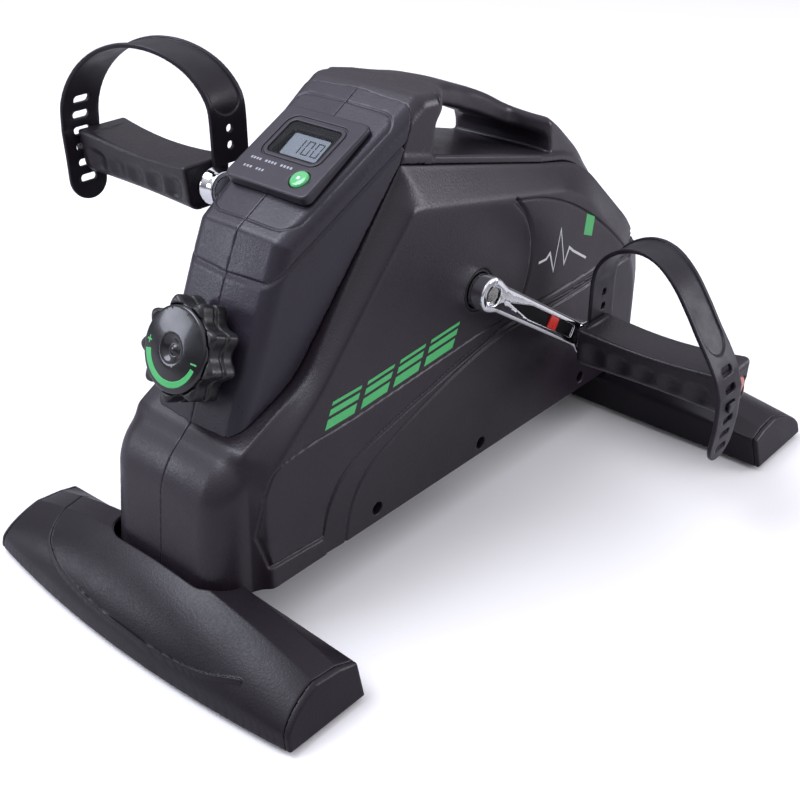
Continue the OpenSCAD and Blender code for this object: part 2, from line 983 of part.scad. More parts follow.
module right_pedal_body() {
    color(foot_black)
    at_right_pedal()
    pedal_body_form();
}

module left_pedal_body() {
    color(foot_black)
    at_left_pedal()
    pedal_body_form();
}

module right_pedal_strap() {
    color(rubber_black)
    at_right_pedal()
    pedal_strap_form();
}

module left_pedal_strap() {
    color(rubber_black)
    at_left_pedal()
    pedal_strap_form();
}

module right_pedal_plug() {
    color([0.85, 0.45, 0.40])
    at_right_pedal()
    pedal_plug_form();
}

module left_pedal_plug() {
    color([0.85, 0.45, 0.40])
    at_left_pedal()
    pedal_plug_form();
}

// ---------- flywheel, belt and brake ----------

module flywheel() {
    color(steel)
    difference() {
        union() {
            ring_x(flywheel_r, flywheel_r - 14, fly_x0, fly_x1, fly_y, fly_z);
            rod_x(flywheel_r - 10, fly_x0 + 5, fly_x1 - 5, fly_y, fly_z);
            rod_x(16, fly_x0, fly_x1, fly_y, fly_z);
        }
        rod_x(11.02, fly_x0 - 1, fly_x1 + 1, fly_y, fly_z);
    }
}

module flywheel_bearings() {
    color(zinc)
    for (x = [fly_x0, fly_x1 - 7])
        difference() {
            rod_x(11, x, x + 7, fly_y, fly_z);
            rod_x(axle_r + run, x - 1, x + 8, fly_y, fly_z);
        }
}

module flywheel_pulley() {
    color(rubber_black)
    difference() {
        union() {
            rod_x(pinion_r, belt_x0, belt_x1, fly_y, fly_z);
            for (x = [belt_x0 - 1.4, belt_x1])
                rod_x(pinion_r + 3, x, x + 1.4, fly_y, fly_z);
            rod_x(14, fly_x1 + 0.02, belt_x0, fly_y, fly_z);
        }
        rod_x(axle_r + 0.6, fly_x1 - 1, belt_x1 + 3, fly_y, fly_z);
    }
}

module flywheel_axle() {
    color(steel)
    rod_x(axle_r, -44, 50, fly_y, fly_z);
}

module axle_nuts() {
    color(zinc)
    for (x = [-41, 41.1])
        difference() {
            rod_x(9.2, x, x + 6.9, fly_y, fly_z, 6);
            rod_x(axle_r + 0.02, x - 1, x + 9, fly_y, fly_z);
        }
}

// Open belt round the two pulleys: arcs joined by the outer tangents.
function belt_loop(grow) =
    let (dy = fly_y - hub_y,
         dz = fly_z - hub_z,
         d = norm([dy, dz]),
         line = atan2(dz, dy),
         wrap_a = acos((pulley_r - pinion_r) / d),
         big = [for (i = [0:72]) line + wrap_a + (360 - 2 * wrap_a) * i / 72],
         small = [for (i = [0:24]) line - wrap_a + 2 * wrap_a * i / 24])
    concat([for (a = big) [hub_y, hub_z] + (pulley_r + grow) * [cos(a), sin(a)]],
           [for (a = small) [fly_y, fly_z] + (pinion_r + grow) * [cos(a), sin(a)]]);

module drive_belt() {
    color(rubber_black)
    difference() {
        prism_x(belt_loop(2.4), belt_x0 + 0.6, belt_x1 - 0.6);
        prism_x(belt_loop(0.25), belt_x0 - 2, belt_x1 + 2);
    }
}

function ring_points(r, a0, a1, n) = [for (i = [0:n])
    let (a = a0 + (a1 - a0) * i / n)
    [fly_y + r * cos(a), fly_z + r * sin(a)]];

function ring_sector(r0, r1, a0, a1, n) =
    concat(ring_points(r1, a0, a1, n), ring_points(r0, a1, a0, n));

module magnet_bracket() {
    color(steel)
    difference() {
        union() {
            prism_x(ring_sector(57.4, 60, 148, 216, 16), bracket_x0, bracket_x1);
            rod_x(6, -22.6, 1.1, pivot_y, pivot_z, 32);
            prism_x([[pivot_y - 5, pivot_z], [pivot_y + 5, pivot_z], [69.5, 86], [64.5, 87]],
                    bracket_x0, bracket_x1);
        }
        rod_x(pin_r + run, -30, 10, pivot_y, pivot_z, 32);
        rod_x(7.2, -18, -6, pivot_y, pivot_z, 32);
        translate([-12, 60, 145])
        rotate([90, 0, 0])
        cylinder(r = 1.2, h = 30, center = true, $fn = 24);
    }
}

module brake_magnets() {
    color([0.35, 0.35, 0.38])
    for (a = [158, 182, 206])
        prism_x(ring_sector(54, 57.3, a - 7, a + 7, 5), bracket_x0 + 2, bracket_x1 - 2);
}

module bracket_pin() {
    color(zinc) {
        rod_x(pin_r, -27.5, 5.5, pivot_y, pivot_z, 32);
        rod_x(4.6, -29, -27, pivot_y, pivot_z, 32);
        rod_x(4.6, 5, 6.5, pivot_y, pivot_z, 32);
    }
}

// Round wire along a path of points, as one closed skin.
module wire(path, r, sides = 8) {
    n = len(path);
    rings = [for (i = [0:n - 1])
        let (d = unit(path[min(i + 1, n - 1)] - path[max(i - 1, 0)]),
             ref = abs(d[2]) > 0.9 ? [0, 1, 0] : [0, 0, 1],
             u = unit(cross(d, ref)),
             w = cross(d, u))
        [for (j = [0:sides - 1]) path[i] + r * (cos(360 * j / sides) * u + sin(360 * j / sides) * w)]];
    skin = [for (i = [0:n - 2]) for (j = [0:sides - 1])
        let (m = (j + 1) % sides)
        [i * sides + j, (i + 1) * sides + j, (i + 1) * sides + m, i * sides + m]];
    polyhedron([for (k = rings) each k],
               concat([[for (j = [0:sides - 1]) j]],
                      [[for (j = [sides - 1:-1:0]) (n - 1) * sides + j]], skin), convexity = 6);
}

module torsion_spring() {
    turns = 5;
    steps = 14;
    color(steel)
    wire([for (i = [0:turns * steps])
        let (a = 360 * i / steps)
        [-16.5 + 9.5 * i / (turns * steps), pivot_y + 5.2 * cos(a), pivot_z + 5.2 * sin(a)]],
         0.7, 6);
}

// Sheathed cable from the tension knob over the crank housing to the brake.
module brake_cable() {
    from = [-12, -127, 163];
    over = [-12, -30, 192];
    to = [-12, 34, 166];
    color(rubber_black)
    wire([for (i = [0:24])
        let (t = i / 24)
        (1 - t) * (1 - t) * from + 2 * t * (1 - t) * over + t * t * to], 1.8);
}

// ---------- tension knob ----------

module tension_knob() {
    lobes = 9;
    lobe_rise = 2;
    steps = lobes * 12;
    rim = [for (i = [0:steps - 1])
        let (a = i * 360 / steps)
        (knob_r - lobe_rise + lobe_rise * cos(lobes * a)) * [cos(a), sin(a)]];
    color(rubber_black)
    knob_frame()
    difference() {
        translate([0, 0, knob_gap])
        linear_extrude(20)
        polygon(rim);
        translate([0, 0, knob_gap - 1])
        cylinder(r = 4.02, h = 17, $fn = round_fn);
        translate([0, 0, knob_gap + 18])
        cylinder(r = 22.1, h = 10, $fn = round_fn);
    }
}

module knob_dial() {
    color([0.08, 0.08, 0.09])
    knob_frame()
    translate([0, 0, knob_gap + 18.1])
    difference() {
        cylinder(r1 = 22, r2 = 20, h = 5, $fn = round_fn);
        translate([0, 0, 13])
        sphere(r = 11, $fn = round_fn);
    }
}

module knob_shaft() {
    color(steel)
    knob_frame()
    difference() {
        union() {
            translate([0, 0, -16])
            cylinder(r = 4, h = knob_gap + 29, $fn = round_fn);
            translate([0, 0, -17])
            cylinder(r = 6.5, h = 6, $fn = round_fn);
        }
        translate([0, 0, -14])
        rotate_extrude($fn = round_fn)
        translate([7.2, 0])
        circle(r = 1.6, $fn = 32);
    }
}

module shaft_bush() {
    color(foot_black)
    knob_frame()
    difference() {
        union() {
            translate([0, 0, -9])
            cylinder(r = 5, h = 11, $fn = round_fn);
            translate([0, 0, 0.1])
            cylinder(r = 8, h = 2, $fn = round_fn);
            translate([0, 0, -9])
            cylinder(r = 8, h = 2, $fn = round_fn);
        }
        translate([0, 0, -12])
        cylinder(r = 4 + run, h = 20, $fn = round_fn);
    }
}

// ---------- console ----------

module console_bezel() {
    mid = (window_from + window_to) / 2;
    color(column_grey)
    face_frame()
    difference() {
        union() {
            translate([0, 0, 0.1])
            linear_extrude(bezel_rise - 1)
            polygon(outline([[-bezel_half, bezel_from, 4], [bezel_half, bezel_from, 4],
                             [bezel_half, bezel_to, 4], [-bezel_half, bezel_to, 4]]));
            translate([0, 0, 0.1])
            linear_extrude(bezel_rise)
            polygon(outline([[-bezel_half + 1.5, bezel_from + 1.5, 3],
                             [bezel_half - 1.5, bezel_from + 1.5, 3],
                             [bezel_half - 1.5, bezel_to - 1.5, 3],
                             [-bezel_half + 1.5, bezel_to - 1.5, 3]]));
        }
        translate([0, mid, 0])
        linear_extrude(20, center = true)
        polygon(outline([[-window_half, -12.5, 3], [window_half, -12.5, 3],
                         [window_half, 12.5, 3], [-window_half, 12.5, 3]]));
        translate([button_x, button_s, -2])
        cylinder(r = button_r + 0.08, h = 20, $fn = round_fn);
        translate([0, 0, -1])
        linear_extrude(bezel_rise - 1)
        polygon(outline([[-28, bezel_from + 2, 2], [28, bezel_from + 2, 2],
                         [28, 45.5, 2], [-28, 45.5, 2]]));
    }
}

module lcd_window() {
    mid = (window_from + window_to) / 2;
    color([0.75, 0.80, 0.82, 0.5])
    face_frame()
    translate([0, mid, 2.2])
    linear_extrude(1.2)
    polygon(outline([[-window_half + 0.1, -12.4, 3], [window_half - 0.1, -12.4, 3],
                     [window_half - 0.1, 12.4, 3], [-window_half + 0.1, 12.4, 3]]));
}

module lcd_module() {
    mid = (window_from + window_to) / 2;
    color([0.70, 0.76, 0.76])
    face_frame()
    translate([0, mid, -1.2])
    linear_extrude(3)
    square([35, 23], center = true);
}

module circuit_board() {
    color([0.12, 0.38, 0.22])
    face_frame()
    difference() {
        translate([0, bezel_from + 29, -3])
        linear_extrude(1.6)
        square([50, 48], center = true);
        for (x = [-21, 21])
            translate([x, bezel_from + 48, -5])
            cylinder(r = 1.6, h = 6, $fn = 32);
    }
}

module battery_cell() {
    color(zinc)
    face_frame()
    translate([0, 45, -12])
    rotate([0, 90, 0])
    cylinder(r = 5.2, h = 44.5, center = true, $fn = round_fn);
}

module select_button() {
    color(green)
    face_frame()
    translate([button_x, button_s, 0]) {
        translate([0, 0, 1.2])
        cylinder(r = button_r, h = bezel_rise - 0.2, $fn = round_fn);
        translate([0, 0, 1.2])
        cylinder(r = button_r + 1.2, h = 1.2, $fn = round_fn);
    }
}

left_shell();
right_shell();
column_left();
column_right();
top_cover();
belly_plate();
front_foot_cover();
rear_foot_cover();
front_foot_caps();
rear_foot_caps();
front_foot_tube();
rear_foot_tube();
foot_pads();
foot_bolts();
base_frame();
shell_screws();
plate_screws();
hub_rings();
crank_bushes();
crank_spindle();
left_crank_arm();
right_crank_arm();
crank_bolts();
drive_pulley();
sensor_magnet();
speed_sensor();
left_pedal_spindle();
right_pedal_spindle();
pedal_nuts();
left_pedal_body();
right_pedal_body();
left_pedal_strap();
right_pedal_strap();
left_pedal_plug();
right_pedal_plug();
flywheel();
flywheel_bearings();
flywheel_pulley();
flywheel_axle();
axle_nuts();
drive_belt();
magnet_bracket();
brake_magnets();
bracket_pin();
torsion_spring();
brake_cable();
tension_knob();
knob_dial();
knob_shaft();
shaft_bush();
console_bezel();
lcd_window();
lcd_module();
circuit_board();
battery_cell();
select_button();
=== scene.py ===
"""Pedal exerciser: the looks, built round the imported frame. Shapes are worked out in millimetres."""

import functools
import json
import math

import bmesh
import bpy
import numpy as np
import openvdb as vdb
from mathutils import Matrix, Vector


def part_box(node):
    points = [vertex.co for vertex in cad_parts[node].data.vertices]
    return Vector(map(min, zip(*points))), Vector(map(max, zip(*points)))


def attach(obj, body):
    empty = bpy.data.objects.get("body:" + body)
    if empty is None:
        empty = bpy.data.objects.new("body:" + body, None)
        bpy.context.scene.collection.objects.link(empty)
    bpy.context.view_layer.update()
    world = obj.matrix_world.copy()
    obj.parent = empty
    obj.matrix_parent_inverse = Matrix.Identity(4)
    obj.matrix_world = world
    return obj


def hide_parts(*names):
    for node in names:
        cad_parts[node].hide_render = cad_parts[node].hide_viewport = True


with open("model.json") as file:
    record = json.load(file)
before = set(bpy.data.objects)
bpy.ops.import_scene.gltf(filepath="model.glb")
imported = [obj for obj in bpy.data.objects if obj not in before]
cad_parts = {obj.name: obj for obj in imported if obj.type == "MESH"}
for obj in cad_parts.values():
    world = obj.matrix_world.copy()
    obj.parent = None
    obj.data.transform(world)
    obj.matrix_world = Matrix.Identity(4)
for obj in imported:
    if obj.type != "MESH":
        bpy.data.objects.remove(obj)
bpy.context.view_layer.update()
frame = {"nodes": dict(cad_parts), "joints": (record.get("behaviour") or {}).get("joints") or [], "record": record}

MM = 0.001
NODES = frame["nodes"]
FAR = 600.0


def node_box(name):
    """A CAD node's corners in millimetres."""
    low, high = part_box(name)
    return np.array(low) / MM, np.array(high) / MM


def joint(name):
    """A joint of the record, with its place in millimetres."""
    found = next(j for j in frame["joints"] if j["name"] == name)
    return np.array(found.get("pos_m", (0, 0, 0))) / MM, np.array(found["axis"])


# ---- places taken from the frame

HUB = joint("crank_spin")[0]
PEDAL_R = joint("right_pedal_spin")[0]
PEDAL_L = joint("left_pedal_spin")[0]
CRANK_R = math.hypot(PEDAL_R[1] - HUB[1], PEDAL_R[2] - HUB[2])
CRANK_DROP = math.atan2(HUB[2] - PEDAL_R[2], PEDAL_R[1] - HUB[1])
SIDE = node_box("right_shell")[1][0]
BELLY = node_box("right_shell")[0][2]
FRONT = node_box("right_shell")[0][1]
PEDAL_IN = node_box("right_pedal_body")[0][0]
PEDAL_OUT = node_box("right_pedal_body")[1][0]
KNOB, KNOB_AXIS = joint("knob_turn")
LEAN = math.asin(KNOB_AXIS[2])
BUTTON_AXIS = joint("button_press")[1]
TILT = math.asin(-BUTTON_AXIS[1])

# Half width of the body at its belt, half the gap at the centre seam, and the wall of the shells.
BELT = 42.0
SEAM = 0.01
WALL = 2.4

# How far apart, in cells, a field is read to find the slope of its surface.
SLOPE_STEP = 0.6


# ---- distance fields

def meet(*fields):
    """What all the fields share, with sharp edges."""
    return functools.reduce(np.maximum, fields)


def join(*fields):
    """All the fields together."""
    return functools.reduce(np.minimum, fields)


def cut(a, b):
    """a without b."""
    return np.maximum(a, -b)


def between(a, low, high):
    """Negative where a lies between low and high."""
    return np.abs(a - (low + high) / 2) - (high - low) / 2


def length(a, b):
    return np.sqrt(a ** 2 + b ** 2)


def part_way(a):
    """a held between 0 and 1."""
    return np.clip(a, 0, 1)


def corner_dist(a, b, r):
    """A corner of radius r between the edges a = r and b = r."""
    return length(np.maximum(a, 0), np.maximum(b, 0)) + np.minimum(np.maximum(a, b), 0) - r


def round_meet(a, b, r):
    """What a and b share, with the edge between them rounded to radius r."""
    corner = length(np.maximum(a + r, 0), np.maximum(b + r, 0))
    return np.minimum(-r, np.maximum(a, b)) + corner


def round_join(a, b, r):
    """a and b together, with a fillet of radius r between them."""
    return -round_meet(-a, -b, r)


def round_cut(a, b, r):
    """a without b, with the new edge rounded."""
    return round_meet(a, -b, r)


def engrave(field, dist, width, depth):
    """A groove of that width and depth along the places where dist is zero."""
    return cut(field, meet(np.abs(dist) - width / 2, -field - depth))


def rounded(corners, steps=8):
    """A closed outline through (u, v, radius) corners, with an arc at each corner."""
    points = []
    count = len(corners)
    for i, (u, v, r) in enumerate(corners):
        here = np.array((u, v), float)
        back = np.array(corners[i - 1][:2], float) - here
        ahead = np.array(corners[(i + 1) % count][:2], float) - here
        back /= np.linalg.norm(back)
        ahead /= np.linalg.norm(ahead)
        half = math.acos(np.clip(back @ ahead, -1, 1)) / 2
        if r <= 0.01 or half > math.pi / 2 - 0.01:
            points.append(here)
            continue
        mid = (back + ahead) / np.linalg.norm(back + ahead)
        centre = here + mid * r / math.sin(half)
        start = here + back * r / math.tan(half) - centre
        end = here + ahead * r / math.tan(half) - centre
        a0 = math.atan2(start[1], start[0])
        turn = (math.atan2(end[1], end[0]) - a0 + math.pi) % (2 * math.pi) - math.pi
        for k in range(steps + 1):
            a = a0 + turn * k / steps
            points.append(centre + r * np.array((math.cos(a), math.sin(a))))
    return np.array(points)


def spline(points, steps=10):
    """A smooth open line through the points."""
    p = np.array(points, float)
    p = np.vstack([2 * p[0] - p[1], p, 2 * p[-1] - p[-2]])
    out = []
    for i in range(1, len(p) - 2):
        for k in range(steps):
            t = k / steps
            out.append(0.5 * (2 * p[i] + (p[i + 1] - p[i - 1]) * t
                              + (2 * p[i - 1] - 5 * p[i] + 4 * p[i + 1] - p[i + 2]) * t ** 2
                              + (3 * p[i] - p[i - 1] - 3 * p[i + 1] + p[i + 2]) * t ** 3))
    out.append(p[-2])
    return np.array(out)


def line_dist(points, u, v, closed=False):
    """Distance from a line of points; negative inside it if it is closed."""
    square = np.full(np.broadcast(u, v).shape, 1e9)
    inside = np.zeros(square.shape, bool)
    ends = np.roll(points, -1, 0) if closed else points[1:]
    for (au, av), (bu, bv) in zip(points, ends):
        du, dv = bu - au, bv - av
        t = part_way(((u - au) * du + (v - av) * dv) / (du * du + dv * dv + 1e-12))
        square = np.minimum(square, (u - au - du * t) ** 2 + (v - av - dv * t) ** 2)
        if closed and av != bv:
            inside ^= ((av > v) != (bv > v)) & (u < du * (v - av) / (bv - av) + au)
    dist = np.sqrt(square)
    return np.where(inside, -dist, dist)


def outline_dist(corners, u, v):
    return line_dist(rounded(corners), u, v, closed=True)


def box_dist(x, y, z, low, high, r):
    """A block with rounded edges."""
    sides = [between(a, l, h) + r for a, l, h in zip((x, y, z), low, high)]
    outer = np.sqrt(sum(np.maximum(a, 0) ** 2 for a in sides))
    return outer + np.minimum(meet(*sides), 0) - r


def blur(a, sigma):
    """Gaussian blur of a 2D array, sigma in cells."""
    reach = max(1, int(3 * sigma))
    kernel = np.exp(-0.5 * (np.arange(-reach, reach + 1) / sigma) ** 2)
    kernel /= kernel.sum()
    for axis in (0, 1):
        pad = [(reach, reach) if i == axis else (0, 0) for i in (0, 1)]
        wide = np.pad(a, pad, mode="edge")
        size = a.shape[axis]
        a = sum(k * np.take(wide, np.arange(i, i + size), axis) for i, k in enumerate(kernel))
    return a


# ---- meshes from fields

def sample(array, p):
    """Trilinear value of the array at points in cell units."""
    p = np.clip(p, 0, np.array(array.shape) - 1.001)
    i = p.astype(int)
    t = p - i
    total = 0
    for dx in (0, 1):
        for dy in (0, 1):
            for dz in (0, 1):
                weight = (np.abs(1 - dx - t[:, 0]) * np.abs(1 - dy - t[:, 1]) * np.abs(1 - dz - t[:, 2]))
                total = total + weight * array[i[:, 0] + dx, i[:, 1] + dy, i[:, 2] + dz]
    return total


def mesh_object(name, points, faces, normals=None):
    """A Blender object from points in millimetres."""
    mesh = bpy.data.meshes.new(name)
    mesh.from_pydata((np.asarray(points) * MM).tolist(), [], [list(map(int, f)) for f in faces])
    mesh.validate()
    mesh.shade_smooth()
    if normals is not None:
        mesh.normals_split_custom_set_from_vertices(normals.tolist())
    piece = bpy.data.objects.new(name, mesh)
    bpy.context.scene.collection.objects.link(piece)
    return piece


def solid(name, low, high, step, field, place=None, merge=0.01):
    """The zero surface of a distance field inside a box, moved to its place by a 4x4 array."""
    low, high = np.array(low, float), np.array(high, float)
    size = np.ceil((high - low) / step).astype(int) + 1
    x, y, z = (low[i] + step * np.arange(size[i]) for i in range(3))
    values = field(x[:, None, None], y[None, :, None], z[None, None, :])
    band = 3 * step
    values = np.clip(np.broadcast_to(values, size), -band, band).astype(np.float32)
    for axis in range(3):
        for end in (0, -1):
            edge = [slice(None)] * 3
            edge[axis] = end
            values[tuple(edge)] = band
    grid = vdb.FloatGrid(float(band))
    grid.copyFromArray(values)
    cells, triangles, quads = grid.convertToPolygons(isovalue=0.0, adaptivity=merge)
    slopes = []
    for axis in range(3):
        shift = np.zeros(3)
        shift[axis] = SLOPE_STEP
        slopes.append(sample(values, cells + shift) - sample(values, cells - shift))
    normals = np.stack(slopes, 1)
    normals /= np.linalg.norm(normals, axis=1)[:, None] + 1e-9
    faces = [*quads.tolist(), *triangles.tolist()]
    probe = np.array([f[:3] for f in faces])
    a, b, c = (cells[probe[:, k]] for k in range(3))
    if (np.cross(b - a, c - a) * normals[probe[:, 0]]).sum() < 0:
        faces = [f[::-1] for f in faces]
    points = low + cells * step
    if place is not None:
        place = np.array(place, float)
        points = points @ place[:3, :3].T + place[:3, 3]
        normals = normals @ place[:3, :3].T
        if np.linalg.det(place[:3, :3]) < 0:
            faces = [f[::-1] for f in faces]
    return mesh_object(name, points, faces, normals)


def mirrored(piece, name):
    """A copy of a finished piece on the other side of the centre plane."""
    count = len(piece.data.vertices)
    flat = np.zeros(count * 3)
    piece.data.vertices.foreach_get("co", flat)
    points = flat.reshape(-1, 3) / MM * (-1, 1, 1)
    normals = np.array([tuple(n.vector) for n in piece.data.corner_normals])
    per_point = np.zeros((count, 3))
    loops = np.zeros(len(piece.data.loops), int)
    piece.data.loops.foreach_get("vertex_index", loops)
    per_point[loops] = normals * (-1, 1, 1)
    faces = [list(p.vertices)[::-1] for p in piece.data.polygons]
    return mesh_object(name, points, faces, per_point)


# ---- body shells

# Corners of the body's outline at the belt and at the flat side face: y, z, radius.
BASE_LINE = [(-176, BELLY - 14, 2), (218, BELLY - 14, 2), (218, 119, 80), (132, 195, 90),
             (-46, 239, 1.5), (-126, 139, 60), (-172, 114.5, 6)]
FACE_LINE = [(-166, BELLY - 14, 2), (195, BELLY - 14, 2), (195, 108, 70), (116, 184, 90),
             (-49, 217, 3), (-125, 138, 60), (-168, 96, 22)]

# The front block under the column.
BLOCK_HALF = node_box("column_right")[1][0] + 5.8
BLOCK_CORNER = 19.0
BLOCK_DRAFT = 0.128
BLOCK_BACK = -100.0
ROOF_START = (-168.5, 115.5)
ROOF_RISE = 0.47

# Screw holes along the lower edge of each side, as y, z, and their radii.
SCREWS = [(-81, 40), (18, 39), (132, 40)]
SCREW_BORE = 1.9
SCREW_HEAD = 4.1
SCREW_PILLAR = 6.4
HUB_BORE = 13.2
CABLE_HALF = 22.0

# Relief of the side face: a tapering band, a raised lower field and a rear panel.
BAND_TOP = [(-166, 92), (-157, 104), (-134, 108.5), (-98, 110), (-62, 113), (-16, 117), (30, 120.5),
            (85, 119), (139, 121), (230, 127)]
BAND_LOW = [(230, 122), (139, 115), (89, 113), (39, 114), (0, 108), (-40, 98.5), (-66, 92),
            (-90, 85), (-108, 76), (-120, 61), (-126, 44)]
BAND_NOSE = [(-147, 45), (-166, 46), (-170, 66)]
FIELD_LINE = [(-109, BELLY - 14), (-108, 34), (-102, 56), (-88, 72), (-62, 84), (-40, 92), (0, 104),
              (39, 111), (89, 110), (138, 112), (230, 119)]
FIELD_FOOT = [(230, 0), (-109, 0)]
LEDGE_NOSE = [(-124, 30), (-124, 0), (-109, 0)]
PANEL_EDGE = [(45, 196), (56, 184), (63, 168), (63, 150), (58, 134), (50, 120)]
PANEL_TOP = [(45, 196), (72, 190), (100, 179), (128, 163), (158, 141), (186, 116)]
PANEL_FOOT = [(230, 60), (120, 60)]

# The band is sunk by this much, over a short ramp, and runs out below: from what height, and over how much.
BAND_DEPTH = 1.5
BAND_RAMP = 1.2
BAND_FADE = (44, 16)
PANEL_DEPTH = 0.7

# Width and depth of the grooves along the edges of the relief.
BAND_GROOVE = (1.1, 1.9)
FIELD_GROOVE = (0.9, 1.1)
EDGE_GROOVE = (1.6, 2.0)
TOP_GROOVE = (0.9, 0.9)
SIDE_BLUR = 1.6
RELIEF_BLUR = 0.45


def share(a, b):
    """How far along the way from the line a = 0 to the line b = 0 a point lies."""
    a, b = np.maximum(a, 0), np.maximum(b, 0)
    return a / (a + b + 1e-6)


def side_height(y, z):
    """How far the right side stands out at (y, z): a ruled bevel up to a flat face with its relief."""
    def inside(*lines):
        return line_dist(np.vstack(lines), y, z, closed=True)

    cell = y[1, 0] - y[0, 0]
    base = outline_dist(BASE_LINE, y, z)
    face = outline_dist(FACE_LINE, y, z)
    height = BELT + (SIDE - BELT) * np.where(face < 0, 1.0, share(-base, face))
    height = blur(height, SIDE_BLUR / cell)
    top, low, field_line = spline(BAND_TOP), spline(BAND_LOW), spline(FIELD_LINE)
    edge, panel_top = spline(PANEL_EDGE), spline(PANEL_TOP)
    band = inside(top, low, BAND_NOSE)
    lower = inside(field_line, FIELD_FOOT)
    ledge = inside(low, LEDGE_NOSE, field_line)
    panel = inside(edge[::-1], panel_top, PANEL_FOOT)
    fade = part_way((z - BAND_FADE[0]) / BAND_FADE[1])
    height = height - BAND_DEPTH * part_way(-band / BAND_RAMP) * fade
    height = height - BAND_DEPTH * np.where((ledge < 0) & (band >= 0), share(lower, band), 0)
    above = z >= np.interp(y, top[:, 0], top[:, 1])
    height = height - PANEL_DEPTH * part_way(-panel) * above
    height = blur(height, RELIEF_BLUR / cell)
    lines = ((band, BAND_GROOVE), (line_dist(field_line, y, z), FIELD_GROOVE),
             (line_dist(edge, y, z), EDGE_GROOVE), (line_dist(panel_top, y, z), TOP_GROOVE))
    for dist, (width, depth) in lines:
        height = height - depth * part_way(1.4 - np.abs(dist) / width)
    return base, height


def body_sides(x, y, z):
    """The bowl of one side, measured square to its bevels."""
    base, height = side_height(y, z)
    slope_y, slope_z = np.gradient(height, y[1, 0] - y[0, 0])
    steep = np.sqrt(1 + np.minimum(slope_y ** 2 + slope_z ** 2, 9))
    return round_meet(base[None], (x - height[None]) / steep[None], 1.0)


def front_block(x, y, z):
    rise = BLOCK_DRAFT * (z - BELLY)
    plan = corner_dist(x - BLOCK_HALF + BLOCK_CORNER, FRONT + BLOCK_CORNER + rise - y, BLOCK_CORNER)
    roof = (z - ROOF_START[1] - ROOF_RISE * (y - ROOF_START[0])) / math.hypot(1, ROOF_RISE)
    return meet(round_meet(plan, roof, 18.0), y - BLOCK_BACK)


def shell_field(x, y, z):
    yy, zz = (a[0] for a in np.broadcast_arrays(y, z))
    body = round_join(body_sides(x, yy, zz), front_block(x, y, z), 5.0)
    shell = cut(round_meet(body, BELLY - z, 0.8), body + WALL)
    for sy, sz in SCREWS:
        away = length(y - sy, z - sz)
        shell = join(shell, meet(away - SCREW_PILLAR, 18 - x, body + 1))
        shell = round_cut(shell, meet(away - SCREW_HEAD, BELT + 0.4 - x), 0.5)
        shell = cut(shell, meet(away - SCREW_BORE, 10 - x))
    hub = length(y - HUB[1], z - HUB[2])
    shell = round_cut(shell, meet(hub - HUB_BORE, 20 - x), 0.8)
    cable = meet(np.abs(x) - CABLE_HALF, between(y, -140, -70), between(z, 149, 185))
    return meet(cut(shell, cable), SEAM - x)


def body_shells():
    low, high = node_box("right_shell")
    right = solid("right_side_shell", low - 3, high + (2, 3, 3), 0.75, shell_field, merge=0.015)
    return right, mirrored(right, "left_side_shell")


# ---- column and console head

FRONT_N = np.array((-math.cos(LEAN), math.sin(LEAN)))
TOP_N = np.array((-math.sin(TILT), math.cos(TILT)))
TOP_RUN = np.array((math.cos(TILT), math.sin(TILT)))
TOP_EDGE = np.array((-126.0, 216.0))
NECK = np.array((-136.5, 194.0))

# The seam between the column and the top cover, as y, z.
SEAM_LOW = np.array((-46.0, 240.3))
SEAM_TOP = TOP_EDGE + 108 * TOP_RUN
SEAM_FAR = SEAM_TOP + 3 * (SEAM_TOP - SEAM_LOW)
SEAM_GAP = 0.2

COLUMN_FRONT = [(*TOP_EDGE, 7), (*NECK, 60), (-221.6, -6.4, 0), (260, -6.4, 0), (260, 441.6, 0)]
COLUMN_BACK = [(-300, 46.4, 0), (-127.2, 139.8, 60), (SEAM_LOW[0] - 0.35, 240.0, 0.5),
               (SEAM_TOP[0] - SEAM_GAP, SEAM_TOP[1], 0), (SEAM_FAR[0] - SEAM_GAP, SEAM_FAR[1], 0),
               (-400, SEAM_FAR[1], 0), (-400, -7.4, 0)]
COLUMN_HALF = 33.2
COLUMN_FLARE = 0.144
CROWN = 0.035

# The line round the head: how far below the face, how much it falls towards the back, and how deep.
HEAD_LINE = (14.0, 0.004, 0.8)

# The line round the face: where it starts and ends up the slope, and the radius of its corners.
FACE_FRAME = (7.0, 96.0)
FACE_CORNER = 11.0
FACE_PLACE = Matrix.Translation((0, *TOP_EDGE)) @ Matrix.Rotation(TILT, 4, "X")
KNOB_PLACE = Matrix.Translation(tuple(KNOB)) @ Matrix.Rotation(math.pi / 2 - LEAN, 4, "X")


